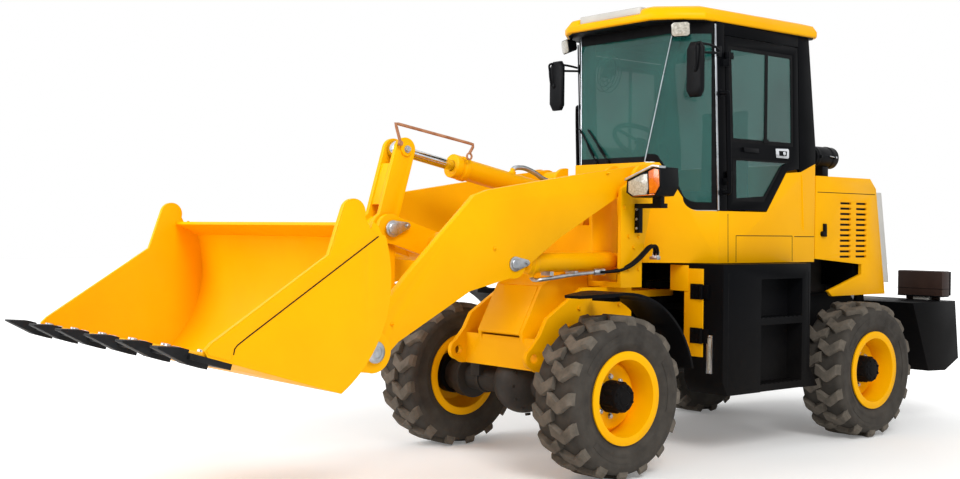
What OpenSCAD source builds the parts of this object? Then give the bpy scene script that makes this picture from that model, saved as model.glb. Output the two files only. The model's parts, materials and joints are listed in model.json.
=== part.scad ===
// Compact articulated wheel loader with a Z-bar boom, on four lugged tyres.
// Axes: X forward from the steering pivot, Y left, Z up, millimetres; the axle line is drawn at hub_z.

/* [Wheels] */
// tyre outside diameter over the lugs
wheel_d = 840; // [760:5:1000]
// tyre section width
tyre_w = 290; // [240:5:360]
// rim flange diameter
rim_d = 480; // [440:2:560]
// bead seat diameter, tyre bore and rim outside
bead_d = 419; // [380:1:500]
// distance between left and right tyre centres
track = 1310; // [1150:5:1500]
// distance between the axles
wheelbase = 2226; // [2000:5:2600]
// rim flange inset from the tyre side
flange_in = 10; // [4:1:25]
// wheel bolt circle
bolt_pcd = 203.2; // [180:0.1:280]
// wheel bolts in one rim
bolt_n = 8; // [5:1:12]
// wheel bolt hole
bolt_d = 18; // [12:0.5:24]
// axle stub in the hub
stub_d = 90; // [60:1:110]
// hub barrel and rim pilot
hub_d = 150; // [130:1:170]
// height of the axle line
hub_z = 420; // [410:1:430]
// lugs in one row
lug_n = 16; // [12:1:20]
// lug width along the tread
lug_w = 58; // [40:1:70]
// lug height
lug_h = 28; // [20:1:36]

/* [Fits] */
// radial running clearance at pins
fit = 0.05; // [0.01:0.01:0.1]
// clear space between moving plates
gap = 8; // [5:1:20]

/* [Joint points] */
// boom pivot, X and Z
boom_pin = [620, 1550];
// lift rod pin on the boom
lift_eye = [1523, 1096];
// lift cylinder base on the front frame
lift_base = [660, 1100];
// bucket hinge
bucket_pin = [2420, 700];
// lever pivot on the boom
lever_pin = [2100, 1270];
// tilt rod pin at the lever top
lever_top = [1982, 1673];
// link pin at the lever foot
lever_foot = [2096, 870];
// tilt cylinder base on the front frame
tilt_base = [670, 1420];
// link pin on the bucket, from the hinge, bucket level
link_at = [190, 190];
// bucket floor angle at rest, nose up
bucket_a = 17; // [0:1:40]
// steering cylinder base, X and Y
steer_base = [-450, 170];
// steering rod eye on the front frame
steer_eye = [300, 150];
// steering cylinder height
steer_z = 700; // [600:5:800]
// hood hinge, X and Z
hood_pin = [-1625, 900];

/* [Pins] */
// boom pin
boom_pin_d = 70; // [40:1:90]
// bucket pin
bucket_pin_d = 60; // [40:1:90]
// lever pin
lever_pin_d = 70; // [40:1:90]
// link pin
link_pin_d = 50; // [30:1:70]
// cylinder pins
cyl_pin_d = 45; // [30:1:60]
// hood hinge pin
hood_pin_d = 30; // [20:1:40]
// articulation pin
hinge_pin_d = 60; // [40:1:90]

/* [Boom] */
// outer face of each arm
arm_y = 385; // [340:1:420]
// arm plate thickness
arm_t = 40; // [25:1:60]
// cross tube diameter
tube_d = 150; // [100:2:200]
// cross tube place
tube_at = [1800, 1180];
// lever bracket inner face
prong_y = 75; // [60:1:120]
// lever bracket thickness
prong_t = 30; // [16:1:40]

/* [Lever and link] */
// lever plate inner face
lever_y = 38; // [30:1:60]
// lever plate thickness
lever_t = 26; // [14:1:32]
// link width
link_w = 60; // [40:1:70]

/* [Cylinders] */
// lift barrel outside diameter
lift_d = 105; // [80:1:140]
// lift rod diameter
lift_rod_d = 50; // [40:1:70]
// lift barrel length from its pin
lift_len = 700; // [680:2:702]
// lift cylinder place across
lift_y = 280; // [250:1:300]
// tilt barrel outside diameter
tilt_d = 115; // [80:1:140]
// tilt rod diameter
tilt_rod_d = 55; // [40:1:70]
// tilt barrel length from its pin
tilt_len = 985; // [900:5:1020]
// steering barrel outside diameter
steer_d = 70; // [50:1:90]
// steering rod diameter
steer_rod_d = 35; // [25:1:50]
// steering barrel length from its pin
steer_len = 560; // [450:5:600]
// barrel wall
barrel_wall = 11; // [6:1:16]
// gland length
gland_l = 40; // [30:1:60]

/* [Bucket] */
// half width over the side plates
bucket_y = 854; // [750:2:1000]
// side plate thickness
bucket_side = 22; // [10:1:30]
// shell plate thickness
bucket_t = 15; // [8:1:25]
// floor underside below the hinge
floor_z = -241; // [-280:1:-200]
// floor front edge
floor_x = 1060; // [950:5:1200]
// back sheet radius
back_r = 555; // [480:1:620]
// back sheet centre
back_c = [841, 112];
// top of the back sheet
back_top = 445; // [400:1:500]
// tooth tip
tooth_x = 1235; // [1150:5:1350]
// teeth
tooth_n = 6; // [4:1:9]
// tooth width
tooth_w = 70; // [40:1:110]

/* [Front frame] */
// tower outer plate, outer face
tower_y = 437; // [420:1:460]
// tower plate thickness
tower_t = 25; // [16:1:35]
// tower inner plate, inner face
inner_y = 190; // [150:1:210]
// main plate inner face
main_y = 300; // [250:1:330]
// main plate thickness
main_t = 30; // [20:1:40]
// frame bottom above the axle line
frame_up = 100; // [90:1:120]
// front box plate inner face
box_y = 160; // [140:1:162]
// tie hole in the front lug
tie_d = 50; // [30:1:70]

/* [Rear frame] */
// rail inner face
rail_y = 295; // [260:1:320]
// rail thickness
rail_t = 30; // [16:1:40]
// rail top under the engine
rail_z = 880; // [840:2:900]
// cab floor underside
floor_low = 1090; // [1000:5:1150]
// lower articulation lug above the axle line
hinge_up = 92; // [85:1:110]
// upper articulation lug underside
hinge_high = 880; // [800:1:920]
// articulation lug thickness
hinge_t = 40; // [25:1:60]

/* [Cab] */
// half width
cab_y = 555; // [500:5:620]
// front face
cab_front = 455; // [420:5:480]
// front face half width at the foot
nose_y = 280; // [240:5:320]
// start of the tapered corner
corner_x = 120; // [60:5:150]
// rear face
cab_rear = -800; // [-900:5:-700]
// window sill at the nose
nose_z = 1665; // [1500:5:1720]
// door sill
sill_z = 1390; // [1350:5:1450]
// peak of the rear shoulder
shoulder_z = 1697; // [1660:1:1740]
// underside of the roof
roof_z = 2470; // [2300:5:2600]
// roof thickness
roof_t = 92; // [60:2:130]
// wall sheet
sheet = 24; // [12:1:40]
// glass thickness
glass_t = 6; // [4:0.5:10]
// front post diameter
post_d = 70; // [40:1:76]
// door pillar width
pillar_w = 75; // [50:1:110]
// space round a door
door_gap = 6; // [5:0.5:12]

/* [Hood] */
// hood sheet
hood_t = 22; // [10:1:40]
// half width
hood_y = 550; // [500:5:620]
// front edge
hood_front = -814; // [-900:1:-806]
// top
hood_z = 1625; // [1500:5:1700]
// grille depth
grille_t = 60; // [30:2:90]
// lowest edge over the rear tyre
fin_z = 872; // [860:1:890]
// louvre slots in one column
slot_n = 11; // [6:1:12]

/* [Tanks] */
// outer face
tank_y = 700; // [650:5:720]
// inner face
tank_in = 420; // [380:5:480]
// front face
tank_front = 250; // [200:5:280]
// rear face
tank_rear = -560; // [-580:5:-500]
// depth of the step bay
bay_deep = 110; // [60:5:150]

/* [Counterweight] */
// half width
weight_y = 700; // [600:5:760]
// rear end
rear_x = -2270; // [-2350:5:-2150]
// top
weight_z = 815; // [760:5:860]
// tow pin bore
tow_d = 40; // [25:1:50]

/* [Output] */
// sub-part to build

/* [Hidden] */
$fn = 48;
ax_f = wheelbase/2;
ax_r = -wheelbase/2;
frame_z = hub_z + frame_up;
hinge_low = hub_z + hinge_up;
seam = 0.3;
B = bucket_pin;
function turn(p, a) = [p[0]*cos(a) - p[1]*sin(a), p[0]*sin(a) + p[1]*cos(a)];
link_pin = B + turn(link_at, bucket_a);
edge_t = 24;
tip_x = B[0] + turn([tooth_x, floor_z - 16], bucket_a)[0];
x_mid = (tip_x + rear_x)/2;
arm_in = arm_y - arm_t;
main_out = main_y + main_t;
rail_out = rail_y + rail_t;
axle_d = 150;

module both() { children(); mirror([0, 1, 0]) children(); }
module side(y0, y1) { translate([0, y1, 0]) rotate([90, 0, 0]) linear_extrude(height = y1 - y0) children(); }
module pin(d, y0, y1, p) { translate([p[0], y1, p[1]]) rotate([90, 0, 0]) cylinder(d = d, h = y1 - y0); }
module box(x, y, z) { translate([x[0], y[0], z[0]]) cube([x[1] - x[0], y[1] - y[0], z[1] - z[0]]); }
// flat bar between two points
module bar(a, b, w) {
  d = b - a;
  translate(a) rotate(atan2(d[1], d[0])) translate([0, -w/2]) square([norm(d), w]);
}
// round bar between two points in space
module stick(a, b, d) {
  v = b - a;
  l = norm(v);
  translate(a) rotate([0, acos(v[2]/l), atan2(v[1], v[0])]) cylinder(d = d, h = l);
}
// children drawn along X go from p towards q in the side plane
module along(p, q) { translate([p[0], 0, p[1]]) rotate([0, -atan2(q[1] - p[1], q[0] - p[0]), 0]) children(); }
module xcyl(d, x0, x1) { translate([x0, 0, 0]) rotate([0, 90, 0]) cylinder(d = d, h = x1 - x0); }
module bucket_frame() { translate([B[0], 0, B[1]]) rotate([0, -bucket_a, 0]) children(); }

// Wheels
lug_line = [[18, -14], [-20, 60], [24, tyre_w/2 - 20]];
lug_reach = lug_line[2][0] + lug_w/2;
tread_r = wheel_d/2 - lug_h;
lug_top = sqrt(pow(wheel_d/2, 2) - pow(lug_reach, 2));
// one bent lug, drawn on top of the wheel
module lug() {
  w = lug_w/2;
  translate([0, 0, tread_r - 16]) linear_extrude(height = lug_top - tread_r + 16)
    polygon(concat([for (p = lug_line) p + [w, 0]], [for (i = [2:-1:0]) lug_line[i] - [w, 0]]));
}
module tyre_shape() {
  h = tyre_w/2;
  s = h - flange_in - 11;
  bore = (bead_d/2 + 1)/cos(180/24);
  rotate([-90, 0, 0]) rotate_extrude($fn = 24) polygon([[bore, -s], [rim_d/2 + 16, -s], [tread_r - 22, -h],
    [tread_r, -h + 30], [tread_r, h - 30], [tread_r - 22, h], [rim_d/2 + 16, s], [bore, s]]);
  for (i = [0:lug_n - 1], row = [0, 1]) rotate([0, (i + row/2)*360/lug_n + atan(lug_reach/lug_top), 0]) mirror([1, 0, 0]) mirror([0, row, 0]) lug();
}
hub_in = -60;
hub_out = 122;
hub_flange = 240;
disc_t = 16;
rim_t = 12;
module rim_shape() {
  s = tyre_w/2 - flange_in - 11;
  r = bead_d/2 - rim_t;
  difference() {
    rotate([-90, 0, 0]) rotate_extrude($fn = 72) polygon([[hub_d/2 + seam, 0], [r - 38, 0], [r, -60], [r, -s - 11],
      [rim_d/2, -s - 11], [rim_d/2, -s], [bead_d/2, -s], [bead_d/2, s], [rim_d/2, s], [rim_d/2, s + 11], [r, s + 11], [r, -30],
      [r - 32, disc_t], [hub_d/2 + seam, disc_t]]);
    for (i = [0:bolt_n - 1]) rotate([0, i*360/bolt_n, 0]) translate([bolt_pcd/2, 0, 0]) rotate([90, 0, 0]) cylinder(d = bolt_d, h = 60, center = true);
  }
}
module hub_shape() {
  difference() {
    rotate([-90, 0, 0]) rotate_extrude($fn = 72) polygon([[0, hub_in], [hub_flange/2, hub_in], [hub_flange/2, 0], [hub_d/2, 0],
      [hub_d/2, hub_out - 22], [hub_d/2 - 14, hub_out], [0, hub_out]]);
    rotate([-90, 0, 0]) translate([0, 0, hub_in - 1]) cylinder(d = stub_d + 2*fit, h = 1 - hub_in);
  }
}
module wheel_at(x, s) { translate([x, s*track/2, hub_z]) if (s < 0) mirror([0, 1, 0]) children(); else children(); }

// Axle with its differential, brake ends and seat pads
module axle_shape(x, s) {
  translate([x, 0, 0]) {
    translate([0, 0, hub_z]) {
      sphere(d = 330);
      rotate([0, s*90, 0]) cylinder(d = 120, h = 200);
      both() {
        rotate([-90, 0, 0]) cylinder(d = axle_d, h = track/2 - 225);
        for (e = [[225, 155, 250], [156, 75, 200], [76, 10, stub_d]]) translate([0, track/2 - e[0], 0]) rotate([-90, 0, 0])
          cylinder(d = e[2], h = e[0] - e[1]);
      }
    }
    both() box([-95, 95], [270, 345], [hub_z + 20, frame_z]);
  }
}

// Front frame
tie_at = [1334, 594];
plate_top = 960;
tower_rear = 632;
module tower_2d() {
  polygon([[tower_rear, plate_top], [800, plate_top], [800, 1500], [boom_pin[0] + 88, boom_pin[1]], [boom_pin[0] - 88, boom_pin[1]], [tower_rear, floor_low + 30]]);
  translate(boom_pin) circle(d = 176);
}
module main_2d() {
  difference() {
    union() {
      polygon([[600, frame_z], [1310, frame_z], [1375, 560], [1385, 612], [1290, 712], [1240, 800], [980, plate_top], [600, plate_top]]);
      translate(tie_at) circle(d = 110);
    }
    translate(tie_at) circle(d = tie_d);
  }
}
box_pts = [[806, 1040], [968, 1048], [1150, 970], [1290, 715]];
module lug_2d() {
  difference() {
    union() {
      circle(d = 170);
      polygon([[0, -85], [610, -150], [610, 150], [0, 85]]);
    }
    circle(d = hinge_pin_d + 2*fit);
  }
}
module front_frame() {
  color("#f2b41b") {
    both() {
      side(main_y, main_out) main_2d();
      side(box_y, box_y + tower_t) polygon(concat([[1260, frame_z + 10], [620, frame_z + 10], [620, plate_top - 1], [806, plate_top - 1]], box_pts));
      for (z = [steer_z - 50, steer_z + 25]) translate([0, 0, z]) linear_extrude(height = 25) {
        translate(steer_eye) circle(d = 80);
        translate([steer_eye[0], steer_eye[1] - 40]) square([620 - steer_eye[0], 80]);
      }
    }
    for (i = [0:2]) side(-box_y - 1, box_y + 1) bar(box_pts[i] - [0, 10], box_pts[i + 1] - [0, 10], 18);
    box([600, 640], [-main_out, main_out], [hinge_low, plate_top]);
    box([600, 900], [-main_y, main_y], [frame_z, frame_z + 25]);
    box([1250, 1280], [-main_y, main_y], [frame_z, frame_z + 170]);
    for (z = [hinge_low, hinge_high]) translate([0, 0, z]) linear_extrude(height = hinge_t) lug_2d();
  }
}
module boom_tower() {
  color("#f2b41b") {
    both() {
      side(tower_y - tower_t, tower_y) tower_2d();
      side(inner_y, inner_y + tower_t) {
        polygon([[600, plate_top], [800, plate_top], [800, 1500], [boom_pin[0] + 88, boom_pin[1]], [600, boom_pin[1]]]);
        intersection() { translate(boom_pin) circle(d = 176); translate([600, 1500]) square([200, 200]); }
      }
      box([tower_rear, 800], [inner_y, tower_y], [plate_top, plate_top + 30]);
      pin(boom_pin_d, inner_y, tower_y + 12, boom_pin);
      pin(120, tower_y, tower_y + 14, boom_pin);
      pin(cyl_pin_d, inner_y, lift_y + 76, lift_base);
      box([lift_base[0] - 28, lift_base[0] + 65], [lift_y + 58, lift_y + 76], [plate_top, lift_base[1] + 50]);
      side(45, 70) {
        translate(tilt_base) circle(d = 100);
        polygon([tilt_base - [50, 0], tilt_base + [34, -36], [790, 1150], [790, 1050], [700, 1050]]);
      }
    }
    box([760, 800], [-inner_y - 1, inner_y + 1], [plate_top, 1300]);
    pin(cyl_pin_d, -70, 70, tilt_base);
  }
}

fender_r = wheel_d/2 + 103;
fender_t = 14;
fender_foot = 406;
module fenders() {
  color("#1d1e20") both() {
    side(520, 780) difference() {
      union() {
        translate([ax_f, hub_z]) circle(r = fender_r + fender_t, $fn = 144);
        polygon([[ax_f, hub_z + 400], [ax_f, hub_z + fender_r + fender_t], [1440, hub_z + fender_r + 5], [1440, hub_z + fender_r - 9], [ax_f + 100, hub_z + 400]]);
      }
      difference() {
        translate([ax_f, hub_z]) circle(r = fender_r, $fn = 144);
        translate([ax_f, hub_z + fender_r]) square([400, 20]);
      }
      translate([0, -200]) square([1600, 740]);
      translate([ax_f, 0]) square([800, hub_z + fender_r - 9]);
      translate([ax_f + 327, 0]) square([800, 2000]);
    }
    box([930, 985], [main_out, 560], [hub_z + fender_r - 48, hub_z + fender_r - 18]);
    translate([ax_f - fender_foot, 0, hub_z + sqrt(fender_r*fender_r - fender_foot*fender_foot)]) box([-17, 18], [main_out, 560], [-5, 18]);
  }
}

lamp_pts = [[500, 1478], [548, 1450], [715, 1458], [750, 1505], [744, 1606], [700, 1612], [506, 1545]];
// outline in Y and Z drawn out along X
module front(x0, x1) { translate([x0, 0, 0]) rotate([90, 0, 90]) linear_extrude(height = x1 - x0) children(); }
module headlamps() {
  color("#26282b") both() {
    front(690, 830) polygon(lamp_pts);
    box([665, 695], [tower_y, 470], [1260, 1420]);
    box([665, 720], [469, 650], [1395, 1420]);
    box([690, 720], [590, 650], [1419, 1456]);
  }
}

module front_shaft() {
  color("#3a3c3f") translate([0, 0, hub_z]) {
    xcyl(55, 30, ax_f - 210);
    xcyl(110, ax_f - 225, ax_f - 200);
  }
}

// Boom
module arm_2d() {
  difference() {
    union() {
      polygon([[620, 1632], [1095, 1565], [1700, 1470], [1790, 1440], [1835, 1395], [1970, 1270], [2200, 1050],
        [2480, 760], [2420, 700], [2365, 632], [2250, 735], [1812, 965], [1523, 1030], [1450, 1075], [1200, 1235], [736, 1475], [620, 1470]]);
      translate(boom_pin) circle(d = 166);
      translate(B) circle(d = 170);
      translate(lift_eye) circle(d = 150);
    }
    translate(boom_pin) circle(d = boom_pin_d + 2*fit);
    translate(B) circle(d = bucket_pin_d + 2*fit);
  }
}
module boom() {
  color("#f2b41b") {
    both() {
      side(arm_in, arm_y) arm_2d();
      side(inner_y + tower_t + gap, tower_y - tower_t - gap) translate(boom_pin) difference() {
        circle(d = 140);
        circle(d = boom_pin_d + 2*fit);
      }
      side(prong_y, prong_y + prong_t) {
        translate(lever_pin) circle(d = 150);
        bar(tube_at, lever_pin, 140);
      }
      pin(cyl_pin_d, lift_y + 36, arm_in + 1, lift_eye);
    }
    pin(tube_d, -arm_in - 1, arm_in + 1, tube_at);
    pin(lever_pin_d, -prong_y - prong_t - 14, prong_y + prong_t + 14, lever_pin);
  }
}

// Lever, link and level pointer
module tilt_lever() {
  color("#f2b41b") {
    both() side(lever_y, lever_y + lever_t) difference() {
      union() {
        translate(lever_top) circle(d = 120);
        translate(lever_pin) circle(d = 170);
        translate(lever_foot) circle(d = 110);
        bar(lever_pin, lever_top, 120);
        bar(lever_pin, lever_foot, 110);
      }
      translate(lever_pin) circle(d = lever_pin_d + 2*fit);
    }
    side(-lever_y - 1, lever_y + 1) translate(lever_pin) difference() {
      circle(d = 130);
      circle(d = lever_pin_d + 2*fit);
    }
    both() pin(70, lever_y + lever_t - 1, lever_y + lever_t + 12, lever_foot);
    both() pin(70, lever_y + lever_t - 1, lever_y + lever_t + 12, lever_top);
  }
}
level_d = 12;
level_pts = [[-30, 40], [-62, 112], [-420, 72]];
module level_rod() {
  color("#b5713a") {
    y = lever_y + lever_t;
    pin(1.6*level_d, y, y + 18, lever_top + level_pts[0]);
    for (i = [0, 1]) along(lever_top + level_pts[i], lever_top + level_pts[i + 1])
      translate([0, y + 9, 0]) xcyl(level_d, 0, norm(level_pts[i + 1] - level_pts[i]));
    translate([lever_top[0] + level_pts[1][0], y + 9, lever_top[1] + level_pts[1][1]]) sphere(d = 1.3*level_d);
  }
}
module bucket_link() {
  color("#f2b41b") side(-link_w/2, link_w/2) difference() {
    union() {
      translate(lever_foot) circle(d = 100);
      translate(link_pin) circle(d = 100);
      bar(lever_foot, link_pin, 80);
    }
    translate(link_pin) circle(d = link_pin_d + 2*fit);
  }
}

// Bucket
heel_x = back_c[0] - sqrt(back_r*back_r - pow(floor_z - back_c[1], 2));
top_x = back_c[0] - sqrt(back_r*back_r - pow(back_top - back_c[1], 2));
module shell_2d() {
  intersection() {
    difference() {
      translate(back_c) circle(r = back_r, $fn = 96);
      translate(back_c) circle(r = back_r - bucket_t, $fn = 96);
    }
    translate([200, floor_z]) square([420, back_top - floor_z]);
  }
  translate([heel_x, floor_z]) square([floor_x - heel_x, bucket_t]);
  translate([top_x, back_top - bucket_t]) rotate(6) square([140, bucket_t]);
}
cheek_over = 5;
module cheek_2d() {
  intersection() {
    translate(back_c) circle(r = back_r + cheek_over, $fn = 96);
    translate([200, floor_z]) square([560, back_top - floor_z]);
  }
  polygon([[heel_x, floor_z], [floor_x - 20, floor_z], [floor_x, floor_z + 20], [floor_x - 20, floor_z + 55],
    [690, 300], [704, 430], [600, 455], [520, 500], [440, 475], [top_x + 12, back_top]]);
  translate([600, 455]) circle(d = 208);
}
ear_in = arm_in - 10;
ear_out = arm_y + 10;
ear_t = 25;
module outside() { difference() { children(); translate(back_c) circle(r = back_r - bucket_t/2, $fn = 96); } }
module bucket() {
  color("#f2b41b") bucket_frame() {
    side(-bucket_y + bucket_side/2, bucket_y - bucket_side/2) shell_2d();
    both() {
      side(bucket_y - bucket_side, bucket_y) cheek_2d();
      for (y = [ear_in - ear_t, ear_out]) side(y, y + ear_t) outside() {
        circle(d = 200);
        polygon([[0, 100], [340, 200], [400, -170], [0, -100]]);
      }
      pin(bucket_pin_d, ear_in - ear_t, ear_out + ear_t + 10, [0, 0]);
      pin(link_pin_d, 0, lever_y + ear_t + 12, link_at);
      side(lever_y, lever_y + ear_t) outside() {
        translate(link_at) circle(d = 130);
        polygon([[link_at[0] - 30, link_at[1] + 58], [360, 340], [340, 40], [link_at[0], link_at[1] - 65]]);
      }
    }
  }
}
module cutting_edge() {
  color("#202124") bucket_frame() {
    box([floor_x - 130, floor_x + 50], [-bucket_y, bucket_y], [floor_z - edge_t, floor_z]);
    for (i = [0:tooth_n - 1]) translate([0, (bucket_y - 60)*(2*i/(tooth_n - 1) - 1), 0]) side(-tooth_w/2, tooth_w/2)
      polygon([[floor_x - 45, floor_z - edge_t], [floor_x - 45, floor_z - edge_t - 20], [floor_x + 40, floor_z - edge_t - 20],
        [tooth_x, floor_z - 16], [tooth_x, floor_z - 8], [floor_x + 85, floor_z + 12], [floor_x + 49, floor_z + 12], [floor_x + 49, floor_z - edge_t]]);
  }
}

// Hydraulic cylinders, drawn along X from the base pin
base_t = 14;
module barrel(d, rod_d, l, w, pin_d) {
  difference() {
    union() {
      pin(2.1*pin_d, -w/2, w/2, [0, 0]);
      box([0, 1.5*pin_d], [-w/2, w/2], [-0.7*pin_d, 0.7*pin_d]);
      xcyl(d, 1.4*pin_d, l);
      xcyl(d + 12, l - gland_l, l);
    }
    pin(pin_d + 2*fit, -w, w, [0, 0]);
    xcyl(d - 2*barrel_wall, 1.4*pin_d + base_t, l - gland_l);
    xcyl(rod_d + 2*fit, l - gland_l - 1, l + 1);
  }
}
module rod(rod_d, total, l, w, pin_d) {
  pin(2.1*pin_d, -w/2, w/2, [total, 0]);
  xcyl(rod_d, total - l, total);
}
lift_l = norm(lift_eye - lift_base);
tilt_l = norm(lever_top - tilt_base);
steer_l = norm(steer_eye - steer_base);
lift_rod_l = 672;
tilt_rod_l = 950;
steer_rod_l = 480;
eye_w = 60;
steer_w = 40;
module steer_side(s) {
  translate([steer_base[0], s*steer_base[1], steer_z]) rotate([0, 0, s*atan2(steer_eye[1] - steer_base[1], steer_eye[0] - steer_base[0])]) rotate([90, 0, 0]) children();
}
module lift_barrels() { color("#f2b41b") both() translate([0, lift_y, 0]) along(lift_base, lift_eye) barrel(lift_d, lift_rod_d, lift_len, eye_w, cyl_pin_d); }
module lift_rods() { color("#c9ccd0") both() translate([0, lift_y, 0]) along(lift_base, lift_eye) rod(lift_rod_d, lift_l, lift_rod_l, eye_w, cyl_pin_d); }
module tilt_barrel() { color("#f2b41b") along(tilt_base, lever_top) barrel(tilt_d, tilt_rod_d, tilt_len, eye_w, cyl_pin_d); }
module tilt_rod() { color("#c9ccd0") along(tilt_base, lever_top) rod(tilt_rod_d, tilt_l, tilt_rod_l, eye_w, cyl_pin_d); }
module steer_barrel_left() { color("#1d1e20") steer_side(1) barrel(steer_d, steer_rod_d, steer_len, steer_w, 30); }
module steer_rod_left() { color("#c9ccd0") steer_side(1) rod(steer_rod_d, steer_l, steer_rod_l, steer_w, 30); }
module steer_barrel_right() { color("#1d1e20") steer_side(-1) barrel(steer_d, steer_rod_d, steer_len, steer_w, 30); }
module steer_rod_right() { color("#c9ccd0") steer_side(-1) rod(steer_rod_d, steer_l, steer_rod_l, steer_w, 30); }

// Rear frame
module ear_plan() {
  circle(d = 190);
  translate([-140, -95]) square([140, 190]);
}
module rear_frame() {
  color("#1d1e20") {
    both() {
      side(rail_y, rail_out) polygon([[-250, frame_z], [-250, floor_low], [-790, floor_low], [-880, rail_z], [-1520, rail_z], [-1580, weight_z], [-1690, weight_z],
        [-1690 - 200*(weight_z - frame_z)/460, frame_z]]);
      for (z = [steer_z - 50, steer_z + 25]) translate([0, 0, z]) linear_extrude(height = 25) {
        translate(steer_base) circle(d = 80);
        translate([-600, steer_base[1] - 40]) square([600 + steer_base[0], 80]);
      }
      translate([steer_base[0], steer_base[1], steer_z - 50]) cylinder(d = 30, h = 100);
      box([-500, -300], [rail_out, tank_in], [560, 1000]);
      side(rail_out - 1, rail_out + 20) {
        translate(hood_pin) circle(d = 60);
        polygon([[hood_pin[0] - 30, hood_pin[1]], [hood_pin[0] + 30, hood_pin[1]], [-1560, 740], [-1690, 740]]);
      }
      pin(hood_pin_d, rail_out + 19, rail_out + 58, hood_pin);
    }
    box([-620, -590], [-rail_y - 1, rail_y + 1], [hinge_low - 48, floor_low]);
    box([-600, -100], [-120, 120], [hinge_low - 48, 620]);
    box([-600, -100], [-120, 120], [790, floor_low]);
    box([-1600, -1560], [-rail_y - 1, rail_y + 1], [frame_z, 700]);
    for (z = [hinge_low, hinge_high]) {
      translate([0, 0, z - gap - hinge_t]) linear_extrude(height = hinge_t) ear_plan();
      translate([0, 0, z + hinge_t + gap]) linear_extrude(height = hinge_t) ear_plan();
      translate([0, 0, z - gap - hinge_t]) cylinder(d = hinge_pin_d, h = 3*hinge_t + 2*gap);
    }
  }
}
module transmission() {
  color("#4a4d50") {
    box([-890, -630], [-200, 200], [330, 790]);
    box([-800, -700], [-rail_y, rail_y], [560, 640]);
    translate([0, 0, hub_z]) {
      xcyl(56, -631, -30);
      sphere(d = 48);
      xcyl(30, -31, 0);
      xcyl(110, ax_r + 200, -889);
    }
  }
}
module engine() {
  color("#4a4d50") {
    box([-1480, -900], [-250, 250], [720, 1500]);
    both() {
      box([-1420, -1370], [249, rail_out], [rail_z, rail_z + 50]);
      box([-1010, -960], [249, rail_out], [rail_z, rail_z + 50]);
    }
  }
}
module counterweight() {
  color("#1d1e20") difference() {
    side(-weight_y, weight_y) polygon([[-1690, weight_z], [-1690 - 200*(weight_z - 355)/460, 355], [-2100, 347], [rear_x, 420], [rear_x + 50, weight_z]]);
    box([rear_x - 10, rear_x + 130], [-70, 70], [520, 600]);
    translate([rear_x + 70, 0, 400]) cylinder(d = tow_d, h = 600);
  }
}
bay_x = [-480, -90];
tank_low = 350;
step_zs = [352, 735];
module side_tanks() {
  color("#1d1e20") both() {
    difference() {
      side(tank_in, tank_y) polygon([[tank_front, 430], [tank_front - 45, tank_low], [tank_rear - 80, tank_low], [tank_rear, 470],
        [tank_rear, floor_low - 2], [tank_front, floor_low - 2]]);
      box(bay_x, [tank_y - bay_deep, tank_y + 1], [tank_low - 1, 1000]);
    }
    for (z = step_zs) box(bay_x + [-1, 1], [tank_y - bay_deep - 1, tank_y], [z, z + 40]);
  }
}
module front_covers() {
  color("#f2b41b") both() box([tank_front, tank_front + 8], [tank_in, 560], [560, floor_low - 30]);
}

// Cab
plan = [[cab_front, -nose_y], [cab_front, nose_y], [corner_x, cab_y], [cab_rear, cab_y], [cab_rear, -cab_y], [corner_x, -cab_y]];
inner = [[cab_front - sheet, -nose_y + 10], [cab_front - sheet, nose_y - 10], [corner_x - 14, cab_y - sheet], [cab_rear + sheet, cab_y - sheet], [cab_rear + sheet, -cab_y + sheet], [corner_x - 14, -cab_y + sheet]];
nose_back = cab_front - 70;
dip = [205, 75];
shoulder_in = [-650, 1640];
// height of the body's upper edge under the corner pane
function edge_z(x) = x > nose_back ? nose_z : x > dip[0] + dip[1] ? sill_z + dip[1] + (nose_z - sill_z - dip[1])*(x - dip[0] - dip[1])/(nose_back - dip[0] - dip[1])
  : x > dip[0] ? sill_z + dip[1] - sqrt(dip[1]*dip[1] - pow(x - dip[0], 2)) : sill_z;
a_low = [cab_front - 36, nose_y - 26, nose_z];
a_top = [310, 376, roof_z];
post_in = [-48, -18, 0];
module cab_base() {
  color("#f2b41b") {
    difference() {
      translate([0, 0, floor_low]) linear_extrude(height = shoulder_z - floor_low) polygon(plan);
      translate([0, 0, floor_low + sheet]) linear_extrude(height = 1000) polygon(inner);
      side(-1000, 1000) {
        polygon([[cab_front + 10, nose_z], [cab_front + 10, 2100], [cab_rear - 10, 2100], [cab_rear - 10, shoulder_z], [cab_rear, shoulder_z], shoulder_in,
          [-510, 1630], [-320, sill_z], [dip[0], sill_z], [dip[0] + dip[1], sill_z + dip[1]], [nose_back, nose_z]]);
        translate([dip[0], sill_z + dip[1]]) circle(r = dip[1]);
      }
    }
    both() box([a_low[0] + post_in[0] - post_d/2 - 4, cab_front - sheet + 1], [a_low[1] + post_in[1] - post_d/2 - 4, nose_y - 8], [nose_z - sheet, nose_z]);
  }
}
header_z = roof_z - 70;
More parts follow.
